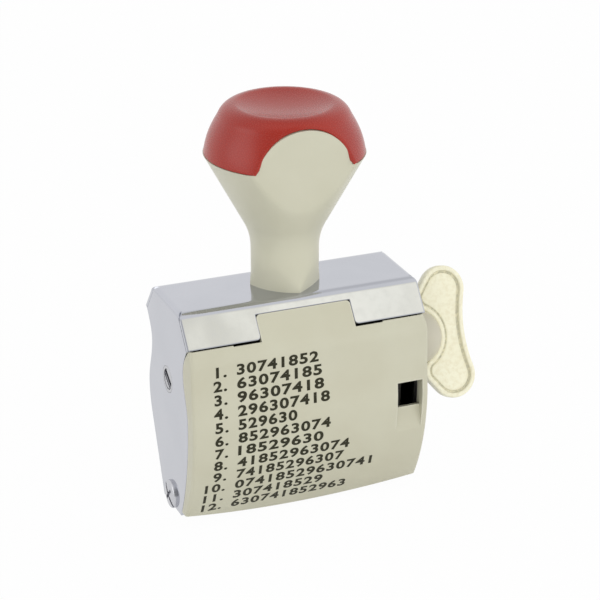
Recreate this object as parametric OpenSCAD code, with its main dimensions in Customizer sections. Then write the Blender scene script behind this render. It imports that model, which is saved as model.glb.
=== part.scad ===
// Hand stamp with a turning band of text lines.
// The print face lies on z = 0, +Z is up, -Y is the front with the list, +X is the side with the key.
// The shaft and the handle stand over the origin.

/* [Housing] */
// Width over the two side plates
body_w = 60; // [52:1:72]
// Height of the top plate above the print face
body_h = 55; // [51:0.5:62]
// Thickness of the bent sheet
sheet_t = 1.0; // [0.7:0.1:1.3]
// Depth of the flat top between its two bends
top_d = 18.6; // [17:0.2:21]
// Depth over the lower edges of the two slanted flanges
flange_d = 29.7; // [28:0.1:32]
// Drop of each slanted flange
flange_drop = 7.1; // [6.4:0.1:8]
// Open seam where a side plate runs under a flange
corner_seam = 0.25; // [0.15:0.05:0.4]
// Depth of the side plates at the waist
waist_d = 21.8; // [21.6:0.1:23]
// Drop from the top plate to the waist
waist_drop = 14.5; // [13.5:0.1:15]
// Depth of the side plates at the bulge
bulge_d = 27.4; // [27:0.1:29]
// Drop from the top plate to the bulge
bulge_drop = 26.5; // [24:0.5:28]
// Reach of the side plates in front of the shaft at their foot
toe_reach = 7.6; // [7:0.1:9]
// Reach of the side plates behind the shaft at their foot
heel_reach = 4.5; // [4.2:0.1:6]
// Radius where the bulge turns into the raked rear edge
rear_turn_r = 20; // [14:1:26]
// Height of the side plates' foot above the print face
plate_lift = 1.8; // [1.2:0.1:3]

/* [Front cover] */
// Reach of the cover's face in front of the shaft, at the bulge
face_reach = 17.9; // [17.2:0.1:20]
// Reach of the cover's face just under the flange
lip_reach = 17.0; // [16.4:0.1:18.5]
// Reach of the cover's face in front of the shaft, at its lower edge
face_toe = 9.7; // [8.4:0.1:10.5]
// Wall of the front cover
cover_wall = 1.8; // [1.4:0.1:2.2]
// Height of the cover's lower edge above the print face, at its middle
cover_lift = 0.85; // [0.3:0.05:1.2]
// Rise of the cover's lower edge from its middle to its corners
cover_smile = 2.4; // [1:0.1:3.5]
// Seam between a cover and the sheet
cover_seam = 0.2; // [0.1:0.05:0.4]
// Width of the tab in the flange's notch
tab_w = 23.4; // [16:0.2:28]
// Drop from the top plate to the tab's upper edge
tab_drop = 2.5; // [2:0.1:4]
// Thickness of the tab
tab_t = 1.5; // [1.2:0.1:1.8]
// Length of the relief slit on each side of the tab
slit_len = 7.2; // [4:0.2:9]
// Height of the relief slits
slit_h = 0.5; // [0.3:0.05:0.8]
// Thickness of the snap lugs inside the cover
lug_t = 1.5; // [1.2:0.1:1.8]
// Height of the snap lugs
lug_h = 6; // [4:0.5:8]

/* [Window] */
// Width of the window over the line number
window_w = 6.5; // [5:0.1:7]
// Height of the window
window_h = 7.2; // [5:0.1:8]
// Distance from the window to the cover's side
window_edge = 1.6; // [1.4:0.1:3]
// Drop from the top plate to the window's upper edge
window_drop = 23.2; // [21:0.1:25]
// Depth of the recess at the window's upper edge
recess_depth = 2.9; // [2:0.1:3.4]
// Length of the recess that runs out below the window
recess_len = 12.8; // [11:0.1:15]

/* [Rear cover] */
// Set-in of the rear cover from the plates' rear edges
rear_inset = 0.2; // [0.1:0.05:0.3]
// Wall of the rear cover
rear_wall = 1.4; // [1.2:0.1:1.5]
// Height of the rear cover's lower edge above the print face
rear_lift = 11; // [10:0.5:16]

/* [Handle] */
// Radius of the neck
neck_r = 8.1; // [7:0.1:9]
// Height of the straight part of the neck
neck_h = 9.5; // [7:0.5:12]
// Radius where the neck turns into the flare
neck_turn_r = 14; // [10:1:18]
// Slope of the flare from upright, in degrees
flare_slope = 28.5; // [26:0.5:30]
// Distance of the four base flats from the neck's axis
base_flat = 6.1; // [5.7:0.1:6.8]
// Slope of the base flats from upright, in degrees
base_flat_slope = 19.6; // [15:0.2:25]
// Radius of the cap at its lower edge
cap_r = 18.85; // [18.5:0.05:20]
// Height of the cap's lower edge above the top plate
cap_z = 32.9; // [31.5:0.1:33.2]
// Height of the cap's crest above the top plate
crest_z = 44.6; // [44.2:0.1:48]
// Radius of the cap's crest, around the dish
crest_r = 11.7; // [10.5:0.1:12.5]
// Slope of the cap's side from upright, in degrees
cap_slope = 21; // [18:0.5:23]
// Bulge of the cap's side beyond straight
cap_bulge = 0.45; // [0:0.05:0.7]
// Depth of the dish in the cap
dish_depth = 1.6; // [0.8:0.1:1.8]
// Distance of the front and rear flats from the axis, at the cap's lower edge
tongue_y = 14.1; // [13.6:0.1:14.3]
// Lean of the front and rear flats, tops outwards, in degrees
flat_lean = 5.7; // [3:0.1:6.5]
// Radius of the arched tongue under the cap
tongue_r = 11.5; // [10.5:0.1:11.7]
// Thickness of the cap between the dish and the tongue
cap_skin = 0.9; // [0.6:0.1:1.2]
// Seam between the cap and the handle
cap_seam = 0.2; // [0.1:0.05:0.25]

/* [Shaft and key] */
// Drop from the top plate to the shaft
shaft_drop = 20.4; // [20:0.1:22]
// Radius of the shaft
shaft_r = 2.5; // [2.2:0.05:2.8]
// Radial running clearance of the shaft in its bushes
shaft_run = 0.05; // [0.02:0.01:0.1]
// Radial clearance of pieces fixed on the shaft
shaft_fit = 0.02; // [0.01:0.01:0.05]
// Radius of each bush in its plate
bush_r = 3.3; // [3.1:0.05:3.6]
// Radius of the bushes' flanges
bush_flange_r = 4.6; // [4.2:0.1:5]
// Thickness of the bushes' flanges
bush_flange_t = 0.8; // [0.6:0.1:1]
// End play between the turning pieces and what holds them
end_play = 0.15; // [0.1:0.05:0.25]
// Thickness of the shaft washers
washer_t = 0.4; // [0.3:0.05:0.6]
// Radius of the shaft washers
washer_r = 4.4; // [4:0.1:5]
// Thickness of the retaining clip
clip_t = 0.6; // [0.4:0.05:0.8]
// Radius of the retaining clip
clip_r = 4.2; // [3.8:0.1:4.6]
// Depth of the clip's groove
groove_depth = 0.5; // [0.3:0.05:0.6]
// Width of the screwdriver slots in the shaft's end and the screws
slot_w = 0.9; // [0.6:0.1:1.2]
// Set-in of the shaft's slotted end from the left plate
shaft_recess = 0.1; // [0:0.1:0.6]
// Depth of the slot in the shaft's end
shaft_slot_depth = 1.4; // [0.8:0.1:2]
// Turn of the slot in the shaft's end, in degrees
shaft_slot_turn = 35; // [0:5:180]
// Radius of the key's hub
hub_r = 6.8; // [6:0.1:7.4]
// Length of the hub's straight part
hub_len = 3.5; // [3:0.1:5]
// Length of the hub's rounded nose
hub_nose = 6.8; // [5.5:0.1:7]
// Distance from the plate to the key's far edge
key_reach = 18.95; // [18:0.05:22]
// Distance between the centres of the key's two lobes
lobe_gap = 21.4; // [19.4:0.2:25]
// Radius of the lobes
lobe_r = 5.8; // [5.4:0.05:6.2]
// Distance between the centres of the key's two rounded corners beside the hub
root_gap = 18.3; // [17:0.1:19]
// Radius of those corners
root_r = 3.6; // [3:0.1:4]
// Distance from the plate to those corners
root_reach = 5.6; // [5:0.1:6]
// Depth of the hollow along the key's far edge
key_hollow = 1.45; // [1:0.05:2.2]
// Thickness of the key's blade
blade_t = 2.6; // [2.2:0.1:3.2]
// Width of the raised rim round the blade
rim_w = 1.6; // [1.2:0.1:2]
// Height of the raised rim
rim_h = 0.5; // [0.3:0.05:0.7]
// Lean of the blade at rest, top towards the rear, in degrees
key_lean = 21; // [0:0.5:30]

/* [Band and platen] */
// Radius of the band drum
drum_r = 7.2; // [6.8:0.1:7.3]
// Count of the drum's flutes, one for each line
flute_count = 6; // [5:1:8]
// Radius of the flutes
flute_r = 1.2; // [0.8:0.1:1.4]
// Radial gap between the drum and the band
band_gap = 0.3; // [0.25:0.05:0.4]
// Thickness of the band
band_t = 1.0; // [0.8:0.05:1.1]
// Height of the raised lines on the band
type_h = 1.1; // [0.8:0.05:1.2]
// Depth of one raised line
type_d = 4.6; // [3.6:0.1:5]
// Length of one raised line
type_w = 42; // [30:0.5:43]
// Count of the lines on the band
line_count = 12; // [10:1:13]
// Distance from the right plate to the band's edge
band_right = 1.8; // [1.7:0.1:3]
// Distance from the left plate to the band's edge
band_left = 4.6; // [4.4:0.1:6]
// Width of the line-number pads
pad_w = 3.4; // [2.5:0.1:4]
// Height of the line-number pads
pad_h = 0.3; // [0.2:0.05:0.5]
// Width of the platen, front to rear
platen_w = 8.6; // [8:0.1:9.4]
// Height of the platen
platen_h = 8; // [7:0.2:9.5]
// Radius of the platen's lower edges
platen_edge_r = 3.2; // [2.8:0.1:3.8]
// Place of the platen's middle, front (minus) to rear
platen_y = -1.5; // [-1.8:0.1:-1.2]
// Seat of the band under the platen
platen_seat = 0.1; // [0.05:0.05:0.2]

/* [Detent] */
// Distance across the flats of the six-sided cam
cam_flats = 9; // [8.4:0.1:9.6]
// Thickness of the cam
cam_t = 2.2; // [1.8:0.1:2.3]
// Thickness of the leaf spring
leaf_t = 0.4; // [0.3:0.05:0.5]
// Width of the leaf spring
leaf_w = 7; // [5:0.5:8]
// Run of each bend in the leaf
leaf_bend = 2; // [1.6:0.1:2.4]
// Clearance of the leaf over the band
leaf_clear = 1; // [0.8:0.1:1.4]
// Gap between the leaf and the cam's flat
leaf_gap = 0.05; // [0.02:0.01:0.1]

/* [Fasteners] */
// Radius of the handle screw's thread
handle_screw_r = 2; // [1.8:0.1:2.3]
// Length of the handle screw above the top plate
handle_screw_len = 16; // [12:0.5:20]
// Radius of the handle screw's head
handle_head_r = 3.6; // [3.4:0.1:4]
// Height of the handle screw's head
handle_head_h = 2.4; // [2:0.1:2.8]
// Thickness of the handle screw's washer
handle_washer_t = 0.8; // [0.5:0.1:1]
// Radius of the handle screw's washer
handle_washer_r = 4.4; // [4.2:0.1:5]
// Radius of the platen screws' threads
platen_screw_r = 1.25; // [1:0.05:1.4]
// Length of the platen screws inside the platen
platen_screw_len = 7; // [5:0.5:9]
// Radius of the platen screws' heads
platen_head_r = 3.5; // [2.8:0.1:3.6]
// Height of the platen screws' heads
platen_head_h = 1.1; // [0.8:0.1:1.5]
// Length of the short arm of the cross slots in those heads
cross_len = 4; // [3:0.1:5]
// Height of the platen screws above the print face
platen_screw_z = 4.8; // [4.6:0.1:5.4]
// Clearance round screws in their threaded holes
screw_fit = 0.05; // [0.03:0.01:0.1]
// Clearance round screws in the sheet's holes
hole_fit = 0.15; // [0.1:0.01:0.25]

/* [Hidden] */
$fn = 64;
eps = 0.01;
over = 1;
far = 200;
half_w = body_w / 2;
inner_w = half_w - sheet_t;

// Side outline of the housing, as depths from the shaft plane at a drop below the top plate
flange_run = (flange_d - top_d) / 2;
flange_len = norm([flange_run, flange_drop]);
shoulder_drop = flange_drop + sheet_t * flange_run / flange_len;
plate_drop = body_h - plate_lift;
plate_fall = bulge_d / 2 - toe_reach;
front_turn_r = (plate_fall * plate_fall + pow(plate_drop - bulge_drop, 2)) / (2 * plate_fall);
heel_from_turn = [heel_reach - bulge_d / 2 + rear_turn_r, plate_drop - bulge_drop];
rear_rake = atan2(heel_from_turn[1], heel_from_turn[0]) - acos(rear_turn_r / norm(heel_from_turn));
rake_drop = rear_turn_r * sin(rear_rake);
rake_depth = rear_turn_r * (1 - cos(rear_rake));
function flange_in(inward) = inward * flange_len / flange_drop;
function flange_y(drop, inward) = top_d / 2 + drop * flange_run / flange_drop - flange_in(inward);
shoulder_y = flange_y(shoulder_drop, sheet_t + corner_seam);
function sag(r, run) = r - sqrt(r * r - run * run);
function edge_upper(drop) =
    drop <= shoulder_drop ? flange_y(drop, sheet_t + corner_seam)
    : drop <= waist_drop ? waist_d / 2 + (shoulder_y - waist_d / 2)
        * (1 - sin(90 * (drop - shoulder_drop) / (waist_drop - shoulder_drop)))
    : waist_d / 2 + (bulge_d - waist_d) / 4
        * (1 - cos(180 * (drop - waist_drop) / (bulge_drop - waist_drop)));
function edge_front(drop) =
    drop <= bulge_drop ? edge_upper(drop) : bulge_d / 2 - sag(front_turn_r, drop - bulge_drop);
function edge_rear(drop) =
    drop <= bulge_drop ? edge_upper(drop)
    : drop <= bulge_drop + rake_drop ? bulge_d / 2 - sag(rear_turn_r, drop - bulge_drop)
    : bulge_d / 2 - rake_depth - (drop - bulge_drop - rake_drop) * tan(rear_rake);
function steps(from, to, count) = [for (i = [0 : count]) from + (to - from) * i / count];
function steps_on(from, to, count) = [for (i = [1 : count]) from + (to - from) * i / count];
function back_to_front(list) = [for (i = [len(list) - 1 : -1 : 0]) list[i]];
function edge_drops(from, to) = concat(
    steps(from, waist_drop, 5),
    steps_on(waist_drop, bulge_drop, 9),
    steps_on(bulge_drop, to, 11));

// Front cover
cover_top = shoulder_drop + cover_seam;
lip_drop = (lip_reach - top_d / 2) * flange_drop / flange_run;
cover_drop = body_h - cover_lift;
face_fall = face_reach - face_toe;
face_r = (face_fall * face_fall + pow(cover_drop - bulge_drop, 2)) / (2 * face_fall);
smile_r = (half_w * half_w + cover_smile * cover_smile) / (2 * cover_smile);
function face_y(drop) =
    drop <= bulge_drop
        ? lip_reach + (face_reach - lip_reach) * pow((drop - cover_top) / (bulge_drop - cover_top), 2)
        : face_reach - sag(face_r, drop - bulge_drop);
notch_w = tab_w + 2 * cover_seam;
window_x = half_w - window_edge - window_w / 2;

// Handle
handle_z = body_h;
flare_r = neck_r + neck_turn_r * (1 - cos(flare_slope));
flare_z = neck_h + neck_turn_r * sin(flare_slope);
rest_z = cap_z - cap_seam;
rest_r = flare_r + (rest_z - flare_z) * tan(flare_slope);
crest_turn_r = (cap_r - crest_r - (crest_z - cap_z) * tan(cap_slope))
    / (cos(cap_slope) - (1 - sin(cap_slope)) * tan(cap_slope));
tongue_z = crest_z - dish_depth - cap_skin - cap_seam - tongue_r;
dish_r = (crest_r * crest_r + dish_depth * dish_depth) / (2 * dish_depth);
function flat_y(z) = tongue_y + (z - rest_z) * tan(flat_lean);

// Shaft line, from the left plate to the key
shaft_z = body_h - shaft_drop;
bush_bore = shaft_r + shaft_run;
fixed_bore = shaft_r + shaft_fit;
left_face = -inner_w + bush_flange_t + end_play;
right_face = inner_w - bush_flange_t - end_play;
cam_x = left_face + washer_t;
clip_x = right_face - clip_t;
drum_left = -inner_w + band_left + end_play;
drum_right = inner_w - band_right - end_play;
drum_mid = (drum_left + drum_right) / 2;
key_x = half_w + end_play + washer_t;
nose_x = key_x + hub_len;
shaft_left = -half_w + shaft_recess;
shaft_right = nose_x + hub_nose / 3;
lobe_at = [half_w + key_reach - lobe_r, lobe_gap / 2];
root_at = [half_w + root_reach + root_r, root_gap / 2];
wing_aim = aim(lobe_at - root_at) + acos((root_r - lobe_r) / norm(lobe_at - root_at));
hollow_r = (pow(lobe_gap / 2, 2) + key_hollow * key_hollow) / (2 * key_hollow);

// Band, as a loop round the drum and the platen's two lower edges
platen_z = type_h + band_t + platen_seat;
edge_y = platen_w / 2 - platen_edge_r;
loop_c = [[0, shaft_z],
    [platen_y - edge_y, platen_z + platen_edge_r],
    [platen_y + edge_y, platen_z + platen_edge_r]];
loop_r = [drum_r + band_gap, platen_edge_r + platen_seat, platen_edge_r + platen_seat];
function aim(v) = atan2(v[1], v[0]);
function leave_angle(i, j) =
    aim(loop_c[j] - loop_c[i]) - acos((loop_r[i] - loop_r[j]) / norm(loop_c[j] - loop_c[i]));
function run_len(i, j) = sqrt(pow(norm(loop_c[j] - loop_c[i]), 2) - pow(loop_r[i] - loop_r[j], 2));
front_angle = leave_angle(0, 1) < 0 ? leave_angle(0, 1) + 360 : leave_angle(0, 1);
under_angle = 270;
rear_angle = leave_angle(2, 0) < 180 ? leave_angle(2, 0) + 360 : leave_angle(2, 0);
function dir(angle) = [cos(angle), sin(angle)];
function arc_points(i, out, from, to, count) =
    [for (a = steps(from, to, count)) loop_c[i] + (loop_r[i] + out) * dir(a)];
function loop_outline(out) = concat(
    arc_points(0, out, rear_angle - 360, front_angle, 36),
    arc_points(1, out, front_angle, under_angle, 12),
    arc_points(2, out, under_angle, rear_angle, 12));
function arc_len(i, span) = (loop_r[i] + band_t / 2) * span * PI / 180;
leg_under = 2 * edge_y;
leg_rear_edge = arc_len(2, rear_angle - under_angle);
leg_rear = run_len(2, 0);
leg_drum = arc_len(0, front_angle - rear_angle + 360);
leg_front = run_len(0, 1);
leg_front_edge = arc_len(1, under_angle - front_angle);
leg_ends = [leg_under / 2,
    leg_under / 2 + leg_rear_edge,
    leg_under / 2 + leg_rear_edge + leg_rear,
    leg_under / 2 + leg_rear_edge + leg_rear + leg_drum,
    leg_under / 2 + leg_rear_edge + leg_rear + leg_drum + leg_front,
    leg_under / 2 + leg_rear_edge + leg_rear + leg_drum + leg_front + leg_front_edge];
loop_len = leg_ends[5] + leg_under / 2;
function on_arc(i, angle) = [loop_c[i] + (loop_r[i] + band_t) * dir(angle), angle];
function on_run(i, angle, way) =
    [loop_c[i] + (loop_r[i] + band_t) * dir(angle) + way * dir(angle + 90), angle];
// Place on the band's outer face and direction of its normal, at a way along the loop
function loop_at(way) =
    way < leg_ends[0] ? [[platen_y + way, type_h], under_angle]
    : way < leg_ends[1] ? on_arc(2, under_angle + (way - leg_ends[0]) / leg_rear_edge
        * (rear_angle - under_angle))
    : way < leg_ends[2] ? on_run(2, rear_angle, way - leg_ends[1])
    : way < leg_ends[3] ? on_arc(0, rear_angle + (way - leg_ends[2]) / leg_drum
        * (front_angle + 360 - rear_angle))
    : way < leg_ends[4] ? on_run(0, front_angle, way - leg_ends[3])
    : way < leg_ends[5] ? on_arc(1, front_angle + (way - leg_ends[4]) / leg_front_edge
        * (under_angle - front_angle))
    : [[platen_y - (loop_len - way), type_h], under_angle];
type_sink = 0.7 * band_t;
band_x0 = -inner_w + band_left;
band_x1 = inner_w - band_right;
pad_x = window_x;
type_x = (band_x0 + pad_x - pad_w / 2) / 2;
band_outer = loop_r[0] + band_t + type_h;

// Detent spring, from the handle screw to the cam
screw_head_z = body_h - sheet_t - handle_washer_t;
leaf_top = screw_head_z;
leaf_foot = shaft_z + cam_flats / 2 + leaf_gap;
leaf_leg_x = (cam_x + cam_t + drum_left) / 2;
leaf_crown = shaft_z + band_outer + leaf_clear;

// Colours
chrome = [0.80, 0.81, 0.84];
cream = [0.80, 0.79, 0.71];
red = [0.72, 0.20, 0.17];
pale = [0.95, 0.93, 0.82];
steel = [0.66, 0.67, 0.68];
dark = [0.16, 0.16, 0.17];

// A flat outline in (Y, Z), pulled along X
module slab(x0, x1) {
    translate([x0, 0, 0]) rotate([90, 0, 90]) linear_extrude(x1 - x0) children();
}

// A flat outline in (X, Z), pulled along Y
module sheet_along_y(y0, y1) {
    translate([0, y1, 0]) rotate([90, 0, 0]) linear_extrude(y1 - y0) children();
}

// A round bar along X
module bar(x0, x1, r) {
    translate([x0, 0, 0]) rotate([0, 90, 0]) cylinder(h = x1 - x0, r = r);
}

module on_shaft() {
    translate([0, 0, shaft_z]) children();
}

module shaft_bore(r) {
    on_shaft() bar(-far, far, r);
}

module both_sides() {
    children();
    mirror([1, 0, 0]) children();
}

module box(low, high) {
    translate(low) cube(high - low);
}

// Housing

module plate_outline() {
    drops = concat([0], edge_drops(shoulder_drop, plate_drop));
    polygon(concat(
        [for (d = drops) [-edge_front(d), body_h - d]],
        [for (d = back_to_front(drops)) [edge_rear(d), body_h - d]]));
}

module roof_outline() {
    lip = sheet_t * [flange_drop, flange_run] / flange_len;
    inner_y = flange_y(sheet_t, sheet_t);
    polygon([[-flange_d / 2, body_h - flange_drop], [-top_d / 2, body_h],
        [top_d / 2, body_h], [flange_d / 2, body_h - flange_drop],
        [flange_d / 2, body_h - flange_drop] - lip, [inner_y, body_h - sheet_t],
        [-inner_y, body_h - sheet_t], [-flange_d / 2 + lip[0], body_h - flange_drop - lip[1]]]);
}

module flange_notches() {
    box([-notch_w / 2, -far, body_h - shoulder_drop - over], [notch_w / 2, far, body_h - tab_drop + cover_seam]);
}

module housing() {
    color(chrome) difference() {
        union() {
            slab(-half_w, half_w) roof_outline();
            both_sides() slab(inner_w, half_w) plate_outline();
        }
        flange_notches();
        shaft_bore(bush_r);
        translate([0, platen_y, platen_screw_z]) bar(-far, far, platen_screw_r + hole_fit);
        cylinder(h = far, r = handle_screw_r + hole_fit);
    }
}

// Covers

module cover_section() {
    drops = concat(steps(lip_drop, bulge_drop, 7), steps_on(bulge_drop, cover_drop, 17));
    inner = [for (d = back_to_front(drops)) if (d > cover_top + cover_wall)
        [-face_y(d) + cover_wall, body_h - d]];
    ledge_y = shoulder_y - cover_wall;
    polygon(concat(
        [[-ledge_y, body_h - cover_top], [-flange_y(cover_top, 0), body_h - cover_top]],
        [for (d = drops) [-face_y(d), body_h - d]],
        inner,
        [[-lip_reach + cover_wall, body_h - cover_top - cover_wall],
            [-ledge_y, body_h - cover_top - cover_wall]]));
}

module cover_side() {
    drops = edge_drops(lip_drop, cover_drop);
    polygon(concat(
        [[-shoulder_y - cover_seam, body_h - cover_top], [-flange_y(cover_top, 0), body_h - cover_top]],
        [for (d = drops) [-face_y(d), body_h - d]],
        [for (d = back_to_front(drops)) [-edge_front(d) - cover_seam, body_h - d]]));
}

module tab_section() {
    low = cover_top + cover_wall / 2;
    polygon([[-flange_y(tab_drop, 0), body_h - tab_drop], [-flange_y(low, 0), body_h - low],
        [-flange_y(low, tab_t), body_h - low], [-flange_y(tab_drop, tab_t), body_h - tab_drop]]);
}

module snap_lug(drop) {
    reach = edge_front(drop);
    box([inner_w - cover_seam - lug_t, -face_y(drop) + cover_wall / 2, body_h - drop - lug_h / 2],
        [inner_w - cover_seam, -reach + 2 * sheet_t, body_h - drop + lug_h / 2]);
}

module window_cut() {
    top = body_h - window_drop;
    floor_y = -face_y(window_drop) + recess_depth;
    run_out = face_y(window_drop + recess_len);
    slab(window_x - window_w / 2, window_x + window_w / 2)
        polygon([[-far, top], [floor_y, top], [-run_out, top - recess_len], [-far, top - recess_len]]);
    box([window_x - window_w / 2, -far, top - window_h],
        [window_x + window_w / 2, floor_y + cover_wall, top]);
}

module recess_back() {
    top = body_h - window_drop + cover_wall / 2;
    back = -face_y(window_drop) + recess_depth + cover_wall / 2;
    low = body_h - window_drop - recess_len;
    slab(window_x - window_w / 2 - cover_wall / 2, half_w - cover_wall / 2)
        polygon([[-face_y(window_drop) + cover_wall / 2, top], [back, top],
            [-face_y(window_drop + recess_len) + cover_wall, low],
            [-face_y(window_drop + recess_len) + cover_wall / 2, low]]);
}

module front_cover() {
    lug_drops = [bulge_drop - lug_h, bulge_drop + 2 * lug_h];
    slit_top = body_h - cover_top;
    color(cream) difference() {
        intersection() {
            union() {
                slab(-inner_w + cover_seam, inner_w - cover_seam) cover_section();
                both_sides() slab(inner_w - cover_seam - lug_t / 2, half_w) cover_side();
                slab(-tab_w / 2, tab_w / 2) tab_section();
                both_sides() for (d = lug_drops) snap_lug(d);
                recess_back();
            }
            translate([0, 0, cover_lift + smile_r]) rotate([90, 0, 0])
                cylinder(h = 2 * far, r = smile_r, center = true, $fn = 128);
        }
        window_cut();
        both_sides() box([tab_w / 2, -far, slit_top - slit_h], [tab_w / 2 + slit_len, 0, slit_top + eps]);
    }
}

module rear_cover() {
    low = body_h - rear_lift;
    high = cover_top + rear_wall;
    drops = edge_drops(high, low);
    face = [for (d = drops) [edge_rear(d) - rear_inset, body_h - d]];
    back = [for (d = back_to_front(drops)) [edge_rear(d) - rear_inset - rear_wall, body_h - d]];
    neck = flange_drop - sheet_t;
    foot = high + rear_wall / 2;
    color(cream) {
        slab(-inner_w + cover_seam, inner_w - cover_seam) polygon(concat(face, back));
        slab(-tab_w / 2, tab_w / 2) polygon([
            [flange_y(tab_drop, 0), body_h - tab_drop],
            [flange_y(flange_drop, 0), body_h - flange_drop],
            [edge_rear(foot) - rear_inset, body_h - foot],
            [edge_rear(foot) - rear_inset - rear_wall / 2, body_h - foot],
            [flange_y(neck, tab_t), body_h - neck],
            [flange_y(tab_drop, tab_t), body_h - tab_drop]]);
    }
}

// Handle

module handle_shape() {
    turn = [for (a = steps(0, flare_slope, 8))
        [neck_r + neck_turn_r * (1 - cos(a)), neck_h + neck_turn_r * sin(a)]];
    rotate_extrude() polygon(concat([[0, 0], [neck_r, 0]], turn, [[rest_r, rest_z], [0, rest_z]]));
}

module base_flats() {
    for (a = [45 : 90 : 315]) rotate([0, 0, a])
        translate([base_flat, 0, 0]) rotate([0, base_flat_slope, 0])
            translate([0, -2 * neck_r, -neck_r]) cube([2 * neck_r, 4 * neck_r, 3 * neck_r]);
}

module arch(r, y) {
    translate([0, 0, tongue_z]) rotate([90, 0, 0]) cylinder(h = 2 * y, r = r, center = true);
}

module tongue() {
    intersection() {
        arch(tongue_r, cap_r);
        box([-cap_r, -far, rest_z - over], [cap_r, far, crest_z]);
    }
}

// Room between the leaning front and rear flats
module between_flats() {
    slab(-2 * cap_r, 2 * cap_r) polygon([[-flat_y(-over), -over], [flat_y(-over), -over],
        [flat_y(crest_z), crest_z], [-flat_y(crest_z), crest_z]]);
}

module handle_body() {
    color(cream) translate([0, 0, handle_z]) difference() {
        intersection() {
            union() {
                handle_shape();
                tongue();
            }
            between_flats();
        }
        base_flats();
        translate([0, 0, -eps]) cylinder(h = handle_screw_len + over, r = handle_screw_r + screw_fit);
    }
}

module handle_cap() {
    crest = [for (a = steps(cap_slope, 90, 8))
        [crest_r + crest_turn_r * cos(a), crest_z + crest_turn_r * (sin(a) - 1)]];
    dish = [for (r = steps(crest_r, 0, 8)) if (r < crest_r)
        [r, crest_z - dish_depth + sag(dish_r, r)]];
    side = [for (t = steps(0, 1, 7)) if (t < 1)
        [cap_r + (crest[0][0] - cap_r) * t + cap_bulge * sin(180 * t), cap_z + (crest[0][1] - cap_z) * t]];
    color(red) translate([0, 0, handle_z]) difference() {
        rotate_extrude() polygon(concat([[0, cap_z]], side, crest, dish));
        arch(tongue_r + cap_seam, far);
    }
}

module handle_screw() {
    color(steel) difference() {
        union() {
            translate([0, 0, screw_head_z - leaf_t - handle_head_h])
                cylinder(h = handle_head_h, r = handle_head_r);
            translate([0, 0, screw_head_z - leaf_t - eps])
                cylinder(h = handle_washer_t + leaf_t + sheet_t + handle_screw_len + eps, r = handle_screw_r);
        }
        translate([0, 0, screw_head_z - leaf_t - handle_head_h])
            cube([3 * handle_head_r, slot_w, handle_head_h], center = true);
    }
}

module handle_washer() {
    color(steel) translate([0, 0, screw_head_z]) difference() {
        cylinder(h = handle_washer_t, r = handle_washer_r);
        translate([0, 0, -eps]) cylinder(h = handle_washer_t + over, r = handle_screw_r + screw_fit);
    }
}

// Shaft line

module bush() {
    difference() {
        on_shaft() {
            bar(inner_w - bush_flange_t, inner_w, bush_flange_r);
            bar(inner_w - bush_flange_t, half_w, bush_r - screw_fit);
        }
        shaft_bore(bush_bore);
    }
}

module left_bush() {
    color(steel) mirror([1, 0, 0]) bush();
}

module right_bush() {
    color(steel) bush();
}

module ring(x0, t, r, bore) {
    difference() {
        on_shaft() bar(x0, x0 + t, r);
        shaft_bore(bore);
    }
}

module drive_shaft() {
    color(steel) difference() {
        on_shaft() bar(shaft_left, shaft_right, shaft_r);
        on_shaft() translate([shaft_left, 0, 0]) rotate([shaft_slot_turn, 0, 0])
            cube([2 * shaft_slot_depth, 3 * shaft_r, slot_w], center = true);
        difference() {
            on_shaft() bar(clip_x, clip_x + clip_t, 2 * shaft_r);
            shaft_bore(shaft_r - groove_depth);
        }
        pin_hole();
    }
}

module thrust_washer() {
    color(steel) ring(left_face, washer_t, washer_r, fixed_bore);
}

module key_washer() {
    color(steel) ring(half_w + end_play, washer_t, washer_r, fixed_bore);
}

module retaining_clip() {
    color(steel) difference() {
        ring(clip_x + shaft_fit, clip_t - 2 * shaft_fit, clip_r, shaft_r - groove_depth + shaft_fit);
        on_shaft() box([clip_x - over, -far, groove_depth - shaft_r],
            [clip_x + clip_t + over, 0, shaft_r - groove_depth]);
    }
}

// Outline of the key's blade, set in from its edge
module blade_outline(inset) {
    upper = [lobe_at + [lobe_r - inset, 0], lobe_at + (lobe_r - inset) * dir(wing_aim),
        root_at + (root_r - inset) * dir(wing_aim), root_at - [root_r - inset, 0]];
    difference() {
        union() {
            for (side = [-1, 1]) {
                translate([lobe_at[0], side * lobe_at[1]]) circle(r = lobe_r - inset);
                translate([root_at[0], side * root_at[1]]) circle(r = root_r - inset);
            }
            polygon(concat(upper, [for (p = back_to_front(upper)) [p[0], -p[1]]]));
        }
        translate([half_w + key_reach - key_hollow + hollow_r, 0]) circle(r = hollow_r + inset, $fn = 128);
    }
}

// Panel sunk into each face of the blade, inside the raised rim
module blade_panel() {
    difference() {
        blade_outline(rim_w);
        translate([nose_x, 0]) circle(r = hub_r + rim_w);
    }
}

module hub_shape() {
    nose = [for (a = steps(0, 90, 10)) [hub_r * cos(a), hub_len + hub_nose * sin(a)]];
    translate([key_x, 0, 0]) rotate([0, 90, 0])
        rotate_extrude() polygon(concat([[0, 0], [hub_r, 0]], nose));
}

module wing_key() {
    color(pale) on_shaft() rotate([-key_lean, 0, 0]) difference() {
        union() {
            hub_shape();
            rotate([90, 0, 0]) linear_extrude(blade_t, center = true) blade_outline(0);
        }
        for (side = [-1, 1]) translate([0, side * (blade_t - rim_h / 2 + eps) / 2, 0])
            rotate([90, 0, 0]) linear_extrude(rim_h / 2 + eps, center = true) blade_panel();
        bar(key_x - over, shaft_right + end_play, fixed_bore);
    }
}

// Band and platen

module pin_hole() {
    on_shaft() translate([drum_mid, 0, 0]) cylinder(h = 3 * drum_r, r = shaft_r / 3, center = true);
}

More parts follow.
